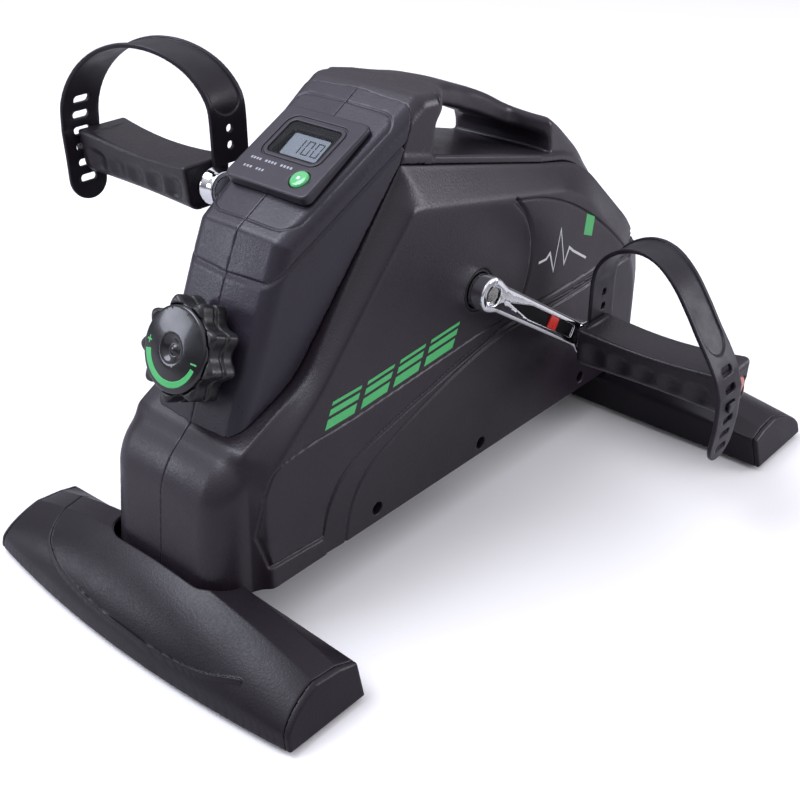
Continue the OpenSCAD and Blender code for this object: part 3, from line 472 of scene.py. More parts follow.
def column_field(x, y, z):
    across = np.abs(x)
    behind = -((y - NECK[0]) * FRONT_N[0] + (z - NECK[1]) * FRONT_N[1])
    side = (across - COLUMN_HALF - COLUMN_FLARE * behind) * 0.99
    skin = outline_dist(COLUMN_FRONT, y[0], z[0])[None] + CROWN * across
    back = outline_dist(COLUMN_BACK, y[0], z[0])[None]
    outer = round_meet(round_meet(skin, side, 8.0), back, 0.4)
    slope = (y - TOP_EDGE[0]) * TOP_RUN[0] + (z - TOP_EDGE[1]) * TOP_RUN[1]
    lift = (y - TOP_EDGE[0]) * TOP_N[0] + (z - TOP_EDGE[1]) * TOP_N[1]
    drop, fall, depth = HEAD_LINE
    groove = depth * part_way(1.25 - np.abs(lift + drop - fall * slope))
    spread = 31 + 0.08 * (slope - FACE_FRAME[0])
    line = corner_dist(across - spread + FACE_CORNER, between(slope, *FACE_FRAME) + FACE_CORNER, FACE_CORNER)
    body = outer + groove + 0.6 * part_way(1.3 - np.abs(line) / 0.7) * (lift > -4)
    body = cut(body, outer + WALL)
    body = cut(body, meet(across - 26, between(slope, 27, 80), -lift - 8))
    shaft = length(x, (y - KNOB[1]) * FRONT_N[1] - (z - KNOB[2]) * FRONT_N[0]) - 5.1
    body = cut(body, meet(shaft, y + 110))
    cable = meet(across - CABLE_HALF, between(y, -135, -69), between(z, 145, 189))
    return meet(cut(body, cable), SEAM - x)


def column_halves():
    low, high = node_box("column_right")
    right = solid("column_half_right", low - (2, 3, 3), high + (3, 12, 8), 0.65, column_field, merge=0.015)
    return right, mirrored(right, "column_half_left")


# ---- top cover with the handle

COVER_LINE = [(-96, 228, 1), (-91.5, 235.9, 0.5), (-27, 273.2, 12), (19, 267, 80), (62, 251, 200),
              (114, 223, 200), (150, 198, 100), (183, 164, 80), (212, 122, 12), (130, 160, 60)]
COVER_HALF = node_box("top_cover")[1][0]
COVER_WALL = 3.0
BAR_HALF = 17.5
HANDLE_SIDE = [(COVER_HALF, -100, 1), (COVER_HALF, -13, 9), (26, 8, 26), (BAR_HALF, 40, 60),
               (BAR_HALF, 86, 10), (39, 98, 5), (30, 160, 60), (26, 206, 20), (20, 240, 10)]
HANDLE_PLAN = HANDLE_SIDE + [(-x, y, r) for x, y, r in HANDLE_SIDE[::-1]]
HANDLE_CROWN = 0.0035
HANDLE_GAP = [(-26, 196, 1), (99, 160, 1), (99, 219, 9), (50, 240.5, 70), (14, 254, 60), (-15, 261, 8)]
LID_TAPER = ([85, 120, 160, 206], [COVER_HALF, 38.5, 32, 28])
LID_RISE = 5.0
LID_ENDS = (-44.6, 206)
HOLLOW_HALF = 36.0


def handle_grip(x, y, z, profile, plan):
    """The bar and both its ends, with a crown over the bar and softer edges to the rear."""
    crown = profile + HANDLE_CROWN * x ** 2 * part_way((y + 5) / 40) * part_way((100 - y) / 20)
    crown = crown + CROWN * np.abs(x) * part_way((-y - 5) / 25)
    edge = np.where(y < -15, 8.0, 5.0 + 7.0 * part_way((y - 95) / 60))
    grip = round_meet(crown, plan + 0.35 * part_way((-y - 14) / 18), edge)
    return round_cut(grip, outline_dist(HANDLE_GAP, y[0], z[0])[None], 3.0)


def cover_field(x, y, z):
    profile = outline_dist(COVER_LINE, y[0], z[0])[None]
    plan = outline_dist(HANDLE_PLAN, x[:, :, 0], y[:, :, 0])[:, :, None]
    base = outline_dist(BASE_LINE, y[0], z[0])[None]
    grip = handle_grip(x, y, z, profile, plan)
    lid = round_meet(base - LID_RISE, np.abs(x) - np.interp(y, *LID_TAPER), 2.2)
    lid = round_meet(lid, meet(LID_ENDS[0] - y, y - LID_ENDS[1]), 1.0)
    body = meet(round_join(lid, grip, 2.5), -base + 0.35)
    seam = SEAM_TOP - SEAM_LOW
    ahead = ((z - SEAM_LOW[1]) * seam[0] - (y - SEAM_LOW[0]) * seam[1]) / np.linalg.norm(seam)
    body = round_meet(body, ahead, 0.4)
    ends = join(meet(y + 19, -43 - y), meet(102 - y, y - 202))
    hollow = meet(meet(grip, ahead) + COVER_WALL, np.abs(x) - HOLLOW_HALF, ends)
    under = meet(np.abs(x) - HOLLOW_HALF, ends, base - LID_RISE - 1)
    return cut(cut(body, hollow), meet(under, plan + COVER_WALL))


def handle_cover():
    low, high = node_box("top_cover")
    return solid("handle_cover", low - 3, high + 3, 0.8, cover_field, merge=0.015)


# ---- feet

# Thickness of the end plates, the gap beside them and how far they lean in.
CAP = 3.2
CAP_GAP = 0.12
END_SLOPE = 0.26

# Height at the ends and what the middle adds to it, and how much deeper the middle is.
FOOT_TALL = (25, 22)
FOOT_BULGE = 10
FOOT_BACK = 12.5
FOOT_RIDGE = 29.0
FOOT_TOE = 8.0
FOOT_WALL = 1.1 * WALL
FOOT_DEEP = {"front": 54.0, "rear": 62.0}
RECESS_FLOOR = BELLY - 1.4
RECESS_GAP = 2.3
RECESS_CORNER = 20.0
RAIL_HALF = 16.0
RAIL_TOP = 28.6

# The line over the front foot, as x and distance towards the front: a groove behind, a bead ahead.
FOOT_LINE = [(-98, 8), (-91, 23), (-86, 36), (-82, 45), (-75, 51), (-58, 57), (-34, 60.4), (-10, 61.8),
             (20, 62), (48, 60.4), (70, 57), (89, 50.6)]
BEAD_HALF = 1.15
GROOVE_HALF = 0.9


def foot_roof(half, deep, x, y):
    """Height and depth of a foot's arched cover, with y running outwards from the inner wall."""
    k = 1 - (x / half) ** 2
    depth = deep + FOOT_BULGE * k
    tall = FOOT_TALL[0] + FOOT_TALL[1] * k
    w = part_way((y - FOOT_RIDGE) / (depth - FOOT_RIDGE))
    front = FOOT_TOE + (tall - FOOT_TOE) * (0.68 * np.sqrt(1 - w ** 2) + 0.32 * (1 - w))
    roof = np.where(y > FOOT_RIDGE, front, tall - 0.08 * (FOOT_RIDGE - y))
    return roof - np.maximum(FOOT_BACK - y, 0) * 1.6 * k, depth


def foot_field(half, deep, x, y, z, cap):
    """A foot cover, or its two end caps; also the distance over its roof and how steep that is."""
    roof, depth = foot_roof(half, deep, x, y)
    slope_x, slope_y = np.gradient(roof[:, :, 0], x[1, 0, 0] - x[0, 0, 0])
    steep = np.sqrt(1 + np.minimum(slope_x ** 2 + slope_y ** 2, 16))[:, :, None]
    top = (z - roof) / steep
    skirt = meet(y - depth, -y)
    outer = round_meet(round_meet(top, skirt, 1.6), 3.0 - z, 0.8)
    end = np.abs(x) - half + END_SLOPE * (z - 3)
    outer = round_meet(outer, end / math.hypot(1, END_SLOPE), 1.4)
    if cap:
        return round_meet(outer, CAP_GAP - end - CAP, 0.3), top, steep
    inner = meet(top + FOOT_WALL, skirt + WALL, -1 - z)
    return cut(round_meet(outer, end + CAP + CAP_GAP, 0.3), inner), top, steep


def rail_way(body, x, y, z, reach):
    """Leaves room for the steel rail in the inner wall."""
    return cut(body, meet(np.abs(x) - RAIL_HALF, y - reach, RAIL_TOP - z))


def front_foot():
    low, high = node_box("front_foot_cover")
    half = node_box("front_foot_caps")[1][0]
    place = Matrix.Translation((0, high[1], 0)) @ Matrix.Rotation(math.pi, 4, "Z")
    path = -spline(FOOT_LINE) * (1, -1)

    def cover(x, y, z):
        body, top, steep = foot_field(half, FOOT_DEEP["front"], x, y, z, False)
        line = line_dist(path, x[:, :, 0], y[:, :, 0])[:, :, None]
        away = length(line * steep, top)
        bead = meet(away - BEAD_HALF, -body - 1.0, 43 - y)
        body = cut(round_join(body, bead, 0.5), meet(away - GROOVE_HALF, y - 42))
        a = np.abs(x) - (BLOCK_HALF + RECESS_GAP - RECESS_CORNER)
        b = y - (high[1] - FRONT + RECESS_GAP - RECESS_CORNER)
        body = round_cut(body, meet(corner_dist(a, b, RECESS_CORNER), RECESS_FLOOR - z), 1.2)
        body = cut(body, meet(np.abs(x) - 59, y - 12, RECESS_FLOOR - z))
        return rail_way(body, x, y, z, 13)

    def caps(x, y, z):
        return foot_field(half, FOOT_DEEP["front"], x, y, z, True)[0]

    box = ((-half - 3, -3, 0), (half + 3, 68, 52))
    return (solid("front_foot_shell", *box, 0.65, cover, place, merge=0.004),
            solid("front_foot_ends", *box, 0.75, caps, place))


def rear_foot():
    inner = node_box("rear_foot_cover")[0][1]
    half = node_box("rear_foot_caps")[1][0]
    place = Matrix.Translation((0, inner, 0))
    side = [(60, -13, 1), (60, 197 - inner, 14), (45, 220.5 - inner, 8)]
    spot = side + [(-x, y, r) for x, y, r in side[::-1]]

    def cover(x, y, z):
        body = foot_field(half, FOOT_DEEP["rear"], x, y, z, False)[0]
        recess = outline_dist(spot, x[:, :, 0], y[:, :, 0])[:, :, None]
        return rail_way(round_cut(body, meet(recess, RECESS_FLOOR - z), 1.2), x, y, z, 28)

    def caps(x, y, z):
        return foot_field(half, FOOT_DEEP["rear"], x, y, z, True)[0]

    box = ((-half - 3, -3, 0), (half + 3, 76, 52))
    return (solid("rear_foot_shell", *box, 0.8, cover, place, merge=0.004),
            solid("rear_foot_ends", *box, 0.8, caps, place))


# ---- pedals and straps

PEDAL_LEN = PEDAL_OUT - PEDAL_IN
PEDAL_HALF = 17.8
PEDAL_TOP = 14.2
PEDAL_LOW = 14.4
PEDAL_DRAFT = 0.10
PEDAL_BORE = 6.3
DISH_HALF = 13.5
DISH_DEPTH = 0.9
FLUTES = 5
FLUTE_START = 0.13
FLUTE_STEP = 0.175
FLUTE_R = 13.0
FLUTE_AWAY = 27.0
LENS_R = 8.0
LENS_LONG = 1.5
LENS_BACK = 2.5


def pedal_place(side):
    spot = PEDAL_R if side > 0 else PEDAL_L
    return Matrix.Translation((0, spot[1], spot[2])) @ Matrix.Diagonal((side, 1, 1, 1))


def oval_dist(y, z):
    """The lens in the pedal's end."""
    return length((y - LENS_BACK) / LENS_LONG, z) - LENS_R


def pedal_block(x, y, z, u, bow):
    """The waisted block of a pedal, with a corded dish in its top."""
    flare = part_way(u - 0.82) * 8
    top = z - (PEDAL_TOP - 3.6 * bow + 2.6 * u)
    scoop = DISH_DEPTH * part_way(1 - (y / DISH_HALF) ** 2) * part_way(6 * bow)
    waist = PEDAL_HALF - 1.0 * bow - PEDAL_DRAFT * (14 - z)
    front = (-y - waist - 0.35 * flare) * 0.99
    back = (y - waist - 0.3 * flare) * 0.99
    low = -z - (PEDAL_LOW - 1.6 * u - 0.6 * bow)
    body = round_meet(round_meet(top, front, 2.2), back, 2.6)
    body = round_meet(body, low, 8.0)
    body = round_meet(body, between(x, PEDAL_IN, PEDAL_OUT), np.where(u > 0.5, 5.0, 2.2))
    dish = round_meet(-(top + scoop), np.abs(y) - DISH_HALF, 0.8)
    return round_cut(body, meet(dish, np.abs(u - 0.47) * PEDAL_LEN - 44), 0.5)


def pedal_field(x, y, z):
    u = (x - PEDAL_IN) / PEDAL_LEN
    bow = np.sin(np.pi * part_way(u))
    body = pedal_block(x, y, z, u, bow)
    for k in range(FLUTES):
        centre = PEDAL_IN + PEDAL_LEN * (FLUTE_START + FLUTE_STEP * k)
        flute = length(x - centre, y + FLUTE_AWAY + PEDAL_DRAFT * (z - 4)) - FLUTE_R
        reach = meet(z - 7.4 + 2.4 * bow, -9.5 - z)
        body = round_cut(body, round_meet(flute, reach, 5.5), 1.6)
    body = cut(body, meet(length(y, z) - PEDAL_BORE, x - PEDAL_IN - 20))
    body = round_cut(body, meet(body + 2.2, x - PEDAL_IN - 1.2), 0.4)
    return round_cut(body, meet(oval_dist(y, z) - 0.2, PEDAL_OUT - 1.6 - x), 0.4)


STRAP_HALF = 13.8
STRAP_T = 2.8
STRAP_TOP = node_box("right_pedal_strap")[1][2] - PEDAL_R[2] - 3.0
STRAP_IN = PEDAL_IN + 0.2
STRAP_OUT = PEDAL_OUT + 0.6

# Strap loops seen from the front, as x from the inner limb and z: the right one is pulled tight.
STRAP_TAUT = [(0, 40), (2, 50), (8, 59), (18, 66.5), (29, 71), (40, 72), (51, 69), (63, 60.5), (74, 48.5),
              (84, 36), (93, 25.5), (100, 15.5), (104, 5)]
STRAP_ROUND = [(0, 34), (1, 44), (6, 54), (15, 63), (28, 69.5), (43, 72.5), (59, 71.5), (74, 66), (87, 56.5),
               (97, 44), (103, 30), (105.2, 15)]

# For each side: how far back the inner and the outer limb stand, the top slot and the tip of the tongue.
SKEW = {1: (12.0, -12.0), -1: (17.0, -12.0)}
FIRST_SLOT = {1: 18.0, -1: 34.0}
TIP = {1: -42.0, -1: -31.0}
SLOTS_DOWN = 6
SLOT_STEP = 10.2
SLOT_HALF = (3.9, 0.4)
SLOT_R = 1.9


def hook_height(side):
    """The slot that the hook on the pedal's end holds."""
    return FIRST_SLOT[side] - SLOT_STEP * (2 if side > 0 else 3)


def rounded_strip(across, z, start, half):
    """A strip of that half width whose lower end is a half circle about start."""
    return np.where(z < start, length(across, z - start), np.abs(across)) - half


def strap_slots(side, across, x, z):
    slots = np.full(np.broadcast(across, z).shape, FAR)
    for k in range(SLOTS_DOWN):
        tall = np.maximum(np.abs(z - FIRST_SLOT[side] + SLOT_STEP * k) - SLOT_HALF[1], 0)
        slots = join(slots, length(np.maximum(np.abs(across) - SLOT_HALF[0], 0), tall) - SLOT_R)
    slots = meet(slots, STRAP_OUT - 22 - x)
    for k in range(2):
        hole = length(across, z - 20 - 10 * k) - 2.4
        slots = join(slots, meet(hole, x - STRAP_IN - 20))
    return slots


def strap_field(side):
    def field(x, y, z):
        skew_in, skew_out = SKEW[side]
        run = (x - STRAP_IN) / (STRAP_OUT - STRAP_IN)
        across = y - (skew_in + (skew_out - skew_in) * part_way(run))
        arch = spline(STRAP_TAUT if side > 0 else STRAP_ROUND, 6) + (STRAP_IN, 0)
        inner_limb = [(STRAP_IN, -90), (STRAP_IN, 10)]
        outer_limb = [(STRAP_OUT, -4), (STRAP_OUT, -16), (STRAP_OUT - 3, -45), (STRAP_OUT - 3, -90)]
        skin = line_dist(np.vstack([inner_limb, arch, outer_limb]), x[:, 0], z[0], closed=True)[:, None, :]
        outside = run > 0.5
        tongue = rounded_strip(across, z, TIP[side] + STRAP_HALF, STRAP_HALF)
        wide = np.where(outside, tongue, np.abs(across) - STRAP_HALF)
        strap = round_meet(between(skin, 0, STRAP_T), wide, 0.9)
        strap = meet(strap, np.where(outside, TIP[side] - z, 9.6 - z))
        rim = STRAP_HALF - 3.2
        centre = rounded_strip(across, z, np.where(outside, FIRST_SLOT[side] + 8, 38.0) + rim, rim)
        strap = round_cut(strap, round_meet(centre, STRAP_T - 1.2 - skin, 0.3), 0.35)
        return round_cut(strap, strap_slots(side, across, x, z), 0.4)
    return field


def lens_field(x, y, z):
    dome = x - PEDAL_OUT - 0.3 + 0.012 * ((y - LENS_BACK) ** 2 + z ** 2)
    return round_meet(round_meet(oval_dist(y, z), dome, 0.5), PEDAL_OUT - 4.0 - x, 0.5)


def hook_field(side):
    def field(x, y, z):
        across = y - SKEW[side][1]
        up = z - hook_height(side)
        stem = box_dist(x, across, up, (PEDAL_OUT - 5, -3.4, -1.7), (PEDAL_OUT + 5, 3.4, 1.7), 0.8)
        lip = box_dist(x, across, up, (PEDAL_OUT + 3.6, -3.4, -4.6), (PEDAL_OUT + 5.0, 3.4, 1.7), 0.6)
        return round_join(stem, lip, 0.6)
    return field


def pedal_set(side, word):
    place = pedal_place(side)
    body = solid(word + "_pedal_grip", (PEDAL_IN - 2, -22, -18), (PEDAL_OUT + 2, 22, 21), 0.6,
                 pedal_field, place)
    reach = STRAP_HALF + 2
    low = (PEDAL_IN - 5, SKEW[side][1] - reach, TIP[side] - 2)
    high = (PEDAL_OUT + 6, SKEW[side][0] + reach, STRAP_TOP + 5)
    strap = solid(word + "_strap", low, high, 0.6, strap_field(side), place)
    lens = solid(word + "_end_lens", (PEDAL_OUT - 7, -14, -10), (PEDAL_OUT + 3, 18, 10), 0.5,
                 lens_field, place)
    low = (PEDAL_OUT - 7, SKEW[side][1] - 6, hook_height(side) - 7)
    high = (PEDAL_OUT + 7, SKEW[side][1] + 6, hook_height(side) + 4)
    hook = solid(word + "_strap_hook", low, high, 0.4, hook_field(side), place)
    return body, strap, lens, hook


# ---- crank arms

ARM_LEAN = math.radians(7)
ARM_FOOT = 57.5
ARM_T = 8.6

# Half width at the root and what it loses to the eye, then radii of holes with their wider mouths.
ARM_HALF = (8.9, 0.9)
ARM_ROOT_R = 10.7
ARM_BOLT = (3.3, 6.3)
SQUARE_HALF = 5.05
FLUTE_HALF = 4.3
FLUTE_END = CRANK_R - 14
EYE_R = 10.4
EYE_BORE = (7.15, 9.0)
TAB_SPOT = CRANK_R - 37


def arm_axes(x, y):
    """Distance out from the arm's inner face, and along the arm from its root."""
    across = (x - ARM_FOOT) * math.cos(ARM_LEAN) - y * math.sin(ARM_LEAN)
    along = (x - ARM_FOOT) * math.sin(ARM_LEAN) + y * math.cos(ARM_LEAN)
    return across, along


def flute_width(along):
    return FLUTE_HALF * part_way((along - 18) / 22)


def arm_bar(across, along, z):
    wide = ARM_HALF[0] - ARM_HALF[1] * part_way(along / CRANK_R)
    bar = round_meet(between(across, 0, ARM_T), np.abs(z) - wide, 2.6)
    bar = meet(round_meet(bar, along - (CRANK_R - 5), 2.0), -along)
    flute = round_meet(np.abs(z) - (flute_width(along) - 0.15), along - FLUTE_END, 1.5)
    return round_cut(bar, meet(flute, ARM_T - 1.6 - across), 0.5)


def arm_field(x, y, z):
    across, along = arm_axes(x, y)
    bolt = length(y, z)
    away = length(y - CRANK_R, z)
    root = round_meet(bolt - ARM_ROOT_R, between(x, 47, 66), 1.6)
    lip = EYE_R + 0.9 * part_way((x - PEDAL_IN + 10) / 6)
    eye = round_meet(away - lip, np.abs(x - PEDAL_IN + 8.9) - 5.2, 1.0)
    arm = round_join(round_join(arm_bar(across, along, z), root, 3.0), eye, 2.0)
    arm = cut(arm, meet(away - EYE_BORE[0], 66 - x))
    arm = round_cut(arm, meet(away - EYE_BORE[1], PEDAL_IN - 5.2 - x), 0.4)
    arm = cut(arm, meet(np.abs(y) - SQUARE_HALF, np.abs(z) - SQUARE_HALF, x - 57.2))
    return round_cut(arm, join(bolt - ARM_BOLT[0], meet(bolt - ARM_BOLT[1], 62.5 - x)), 0.4)


def inlay_field(x, y, z):
    across, along = arm_axes(x, y)
    bed = meet(across - (ARM_T - 1.15), ARM_T - 2.1 - across, along - (FLUTE_END - 0.2))
    return round_meet(meet(np.abs(z) - (flute_width(along) - 0.35), 18.5 - along), bed, 0.1)


def tab_field(x, y, z):
    across, along = arm_axes(x, y)
    spot = meet(np.abs(z) - 4.1, np.abs(along - TAB_SPOT) - 4.2)
    return round_meet(spot, np.abs(across - ARM_T + 0.55) - 0.75, 0.15)


def crank_place(side):
    turn = -CRANK_DROP if side > 0 else math.pi - CRANK_DROP
    flip = Matrix.Identity(4) if side > 0 else Matrix.Diagonal((-1, 1, -1, 1))
    return Matrix.Translation((0, HUB[1], HUB[2])) @ Matrix.Rotation(turn, 4, "X") @ flip


def crank_set(side, word):
    place = crank_place(side)
    arm = solid(word + "_arm", (45, -14, -14), (PEDAL_IN + 1, CRANK_R + 14, 14), 0.5, arm_field, place)
    inlay = solid(word + "_arm_inlay", (55, 14, -6), (PEDAL_IN, CRANK_R - 10, 6), 0.4, inlay_field, place)
    tab = solid(word + "_arm_tab", (62, TAB_SPOT - 7, -6), (PEDAL_IN + 2, TAB_SPOT + 7, 6), 0.3, tab_field,
                place)
    return arm, inlay, tab


# ---- tension knob

KNOB_R = (node_box("tension_knob")[1][0] - node_box("tension_knob")[0][0]) / 2 + 0.6
LOBES = 9
LOBE_RISE = 2.6
DIAL_R = 23.4
DIAL_BACK = 20.9
KNOB_BORE = 4.02
ARC_R = 18.3
MARK_HALF = (2.1, 0.55)
PRINT_T = 0.16


def polar(x, y):
    return length(x, y), np.arctan2(y, x)


def knob_field(x, y, z):
    r, angle = polar(x, y)
    wave = np.cos(LOBES * angle + math.pi / 2)
    rim = KNOB_R - LOBE_RISE + LOBE_RISE * (wave - 0.25 * (1 - wave ** 2))
    body = round_meet((r - rim) * 0.93, between(z, 3, 22.2), 2.8)
    body = cut(body, length(r - rim - 0.3, z - 12.2) - 1.5)
    body = round_cut(body, meet(r - DIAL_R - 0.5, DIAL_BACK - 0.1 - z), 0.7)
    return cut(body, meet(r - KNOB_BORE, z - 19))


def dial_face(r):
    """Height of the dial's glossy face at radius r: a dome with a hollow, and a boss in its middle."""
    dome = 23.4 + 2.4 * (1 - (r / DIAL_R) ** 2)
    return dome - 2.9 * np.exp(-(r / 6.2) ** 4) + 1.5 * np.exp(-(r / 2.6) ** 4)


def dial_field(x, y, z):
    r, _ = polar(x, y)
    return round_meet(round_meet(r - DIAL_R, z - dial_face(r), 1.3), DIAL_BACK - z, 0.3)


def dial_arc_field(x, y, z):
    r, angle = polar(x, y)
    turn = np.mod(angle + math.pi / 2 + math.pi, 2 * math.pi) - math.pi
    taper = 2.5 - 1.1 * (turn + 1.2) / 2.4
    arc = meet(np.abs(r - ARC_R) - taper, (np.abs(turn + 0.03) - 1.3) * ARC_R)
    return meet(arc, np.abs(z - dial_face(r)) - PRINT_T)


def bar_mark(x, y, wide, tall):
    return meet(np.abs(x) - wide, np.abs(y) - tall)


def dial_marks_field(x, y, z):
    r, _ = polar(x, y)
    long, thick = MARK_HALF
    plus = (x + 18.2, y - 0.2)
    minus = (x - 17.6, y + 2.6)
    marks = join(bar_mark(*plus, long, thick), bar_mark(*plus, thick, long), bar_mark(*minus, long, thick))
    return meet(marks, np.abs(z - dial_face(r)) - PRINT_T)


def knob_set():
    knob = solid("knob_grip", (-32, -32, 1), (32, 32, 30), 0.55, knob_field, KNOB_PLACE)
    dial = solid("knob_face", (-26, -26, 19), (26, 26, 28), 0.45, dial_field, KNOB_PLACE)
    arc = solid("knob_scale", (-23, -23, 20), (23, 12, 27), 0.3, dial_arc_field, KNOB_PLACE)
    marks = solid("knob_marks", (-22, -6, 21), (22, 4, 27), 0.25, dial_marks_field, KNOB_PLACE)
    return knob, dial, arc, marks


# ---- display, with x across and s up the console face

BEZEL = (31.0, 25.0, 83.0)
WINDOW = (19.0, 48.0, 73.0)
BUTTON_SPOT = (18.0, 36.0)
BUTTON_R = 5.6
WORDS = ((41.0, (-23, -14.5)), (41.0, (-12, -3)), (41.0, (-0.5, 9)), (34.5, (-23, -16)), (34.5, (-13.5, -7)))
DIGIT_TALL = 10.5
DIGIT_BASE = 53.0
DIGITS = ((8.0, "abcdef"), (1.0, "abcdef"), (-6.0, "bc"))


def bezel_rise(s):
    """Height of the bezel's sloping front at s."""
    return 6.1 - 3.2 * (s - BEZEL[1]) / (BEZEL[2] - BEZEL[1])


def plate_dist(x, s, half, low, high, r):
    return corner_dist(np.abs(x) - half + r, between(s, low, high) + r, r)


def button_dist(x, s):
    return length(x - BUTTON_SPOT[0], s - BUTTON_SPOT[1])


def bezel_field(x, s, z):
    plate = plate_dist(x, s, *BEZEL, 4.5)
    body = round_meet(round_meet(plate, z - bezel_rise(s), 1.3), 0.1 - z, 0.2)
    opening = plate_dist(x, s, *WINDOW, 3.6)
    body = engrave(round_cut(body, opening, 0.4), opening - 3.0, 1.1, 0.8)
    body = round_cut(body, button_dist(x, s) - BUTTON_R - 0.35, 0.6)
    return cut(body, meet(plate_dist(x, s, 28, 28, 45.5, 2), z - 3.6))


def well_field(x, s, z):
    """The dark frame that slopes down from the bezel to the panel."""
    opening = plate_dist(x, s, *WINDOW, 3.6)
    wall = meet(opening + 0.1, z - bezel_rise(s) + 0.7)
    deep = part_way((5.5 - z) / 3.5)
    half, low, high = WINDOW
    pit = plate_dist(x - 1.5 * deep, s, half - 5.5 * deep, low + 2.5 * deep, high - 7 * deep, 1.5)
    return round_meet(round_cut(wall, pit, 0.3), 1.9 - z, 0.1)


def button_field(x, s, z):
    r = button_dist(x, s)
    cap = round_meet(r - BUTTON_R, z - 6.9 + 0.012 * r ** 2, 1.3)
    flange = meet(r - BUTTON_R - 2.0, z - 2.3)
    return meet(join(cap, flange), 1.2 - z)


def bars_field(bars, height):
    """Flat bars (x0, x1, s0, s1) on a surface: printed marks, and also the painted highlight on the key."""
    def field(x, s, z):
        shapes = [meet(between(x, x0, x1), between(s, s0, s1)) for x0, x1, s0, s1 in bars]
        return meet(join(*shapes), np.abs(z - height(s)) - 0.14)
    return field


def digit_bars(x, segments):
    """Bars of one seven-segment digit whose left edge is at x."""
    wide, t, half = DIGIT_TALL * 0.5, DIGIT_TALL * 0.11, DIGIT_TALL / 2
    left, right = (x, x + t), (x + wide - t, x + wide)
    lower, upper = (DIGIT_BASE, DIGIT_BASE + half), (DIGIT_BASE + half, DIGIT_BASE + DIGIT_TALL)
    spots = {"a": (x, x + wide, upper[1] - t, upper[1]), "d": (x, x + wide, lower[0], lower[0] + t),
             "b": (*right, *upper), "c": (*right, *lower), "e": (*left, *lower), "f": (*left, *upper)}
    gap = t * 0.25
    return [(a + gap, b - gap, c + gap, d - gap) for a, b, c, d in (spots[k] for k in segments)]


def word_bars(s, span):
    """Short dashes that stand for one printed word."""
    count = max(2, round((span[1] - span[0]) / 2.4))
    pitch = (span[1] - span[0]) / count
    return [(span[0] + k * pitch, span[0] + (k + 0.72) * pitch, s - 0.9, s + 0.9) for k in range(count)]


def display():
    bezel = solid("console_frame", (-33, 23, -1), (33, 85, 8), 0.4, bezel_field, FACE_PLACE)
    button = solid("select_key", (8, 26, 0), (28, 46, 8), 0.35, button_field, FACE_PLACE)
    words = sum((word_bars(*word) for word in WORDS), [])
    marks = solid("console_marks", (-26, 31, 3), (14, 45, 8), 0.25, bars_field(words, bezel_rise), FACE_PLACE)
    # A small white square on the top of the key: this is a painted highlight.
    glint_spot = [tuple(a + d for a in BUTTON_SPOT for d in (-1.1, 1.1))]
    button_glint = solid("button_glint", (14, 32, 5), (22, 40, 8), 0.2, bars_field(glint_spot, lambda s: 6.85), FACE_PLACE)
    bars = sum((digit_bars(*digit) for digit in DIGITS), [])
    digits = solid("lcd_digits", (-14, 52, 1), (15, 70, 3), 0.2, bars_field(bars, lambda s: 1.97), FACE_PLACE)
    well = solid("window_well", (-21, 46, 1), (21, 75, 7), 0.35, well_field, FACE_PLACE)
    return bezel, button, marks, button_glint, digits, well


# ---- graphics on the sides

def flat_plate(name, outlines, x0, x1):
    """Thin closed plates standing on the side plane, from (y, z) outlines."""
    points, faces = [], []
    for line in outlines:
        n, start = len(line), len(points)
        points += [(x0, y, z) for y, z in line] + [(x1, y, z) for y, z in line]
        faces.append([start + k for k in range(n)][::-1])
        faces.append([start + n + k for k in range(n)])
        for k in range(n):
            m = (k + 1) % n
            faces.append([start + k, start + m, start + n + m, start + n + k])
    piece = mesh_object(name, points, faces)
    fixed = bmesh.new()
    fixed.from_mesh(piece.data)
    bmesh.ops.recalc_face_normals(fixed, faces=fixed.faces)
    bmesh.ops.triangulate(fixed, faces=[f for f in fixed.faces if len(f.verts) > 4])
    fixed.to_mesh(piece.data)
    fixed.free()
    piece.data.shade_flat()
    return piece


def ribbon(line, half):
    """Closed four-sided outlines that follow an open line, mitred where they meet."""
    line = np.array(line, float)
    run = np.diff(line, axis=0)
    run /= np.linalg.norm(run, axis=1)[:, None]
    run = np.vstack([run[:1], run, run[-1:]])
    off = []
    for before, after in zip(run[:-1], run[1:]):
        mid = np.array((-before[1] - after[1], before[0] + after[0]))
        mid /= np.linalg.norm(mid)
        off.append(mid * half / max(0.55, abs(mid @ (-after[1], after[0]))))
    off = np.array(off)
    left, right = line + off, line - off
    return [[left[k], left[k + 1], right[k + 1], right[k]] for k in range(len(line) - 1)]


# Stripes over the band: where each group starts and ends, and how high each row lies over the band.
STRIPE_SPANS = ((-124, -101), (-96, -74), (-69, -47), (-42, -16))
STRIPE_ROWS = ((4.0, 9.5), (11.5, 15.0), (17.0, 19.0))
STRIPE_SLANT = 0.45
PULSE_LINE = [(72, 147), (80, 147), (84, 150), (89, 136), (95, 163), (101, 137), (106, 147), (111, 143),
              (127, 133)]
PULSE_HALF = 0.8
BADGE = [(122, 151), (132, 147), (134, 160), (124, 165)]
PRINT_BACK, PRINT_FRONT = -0.25, 0.12


def side_stripes():
    top = spline(BAND_TOP)
    for span in STRIPE_SPANS:
        base0, base1 = np.interp(span, top[:, 0], top[:, 1])
        for low, high in STRIPE_ROWS:
            y0, y1 = (y + STRIPE_SLANT * low for y in span)
            y2, y3 = (y + STRIPE_SLANT * high for y in span)
            yield [(y0, base0 + low), (y1, base1 + low), (y3, base1 + high), (y2, base0 + high)]


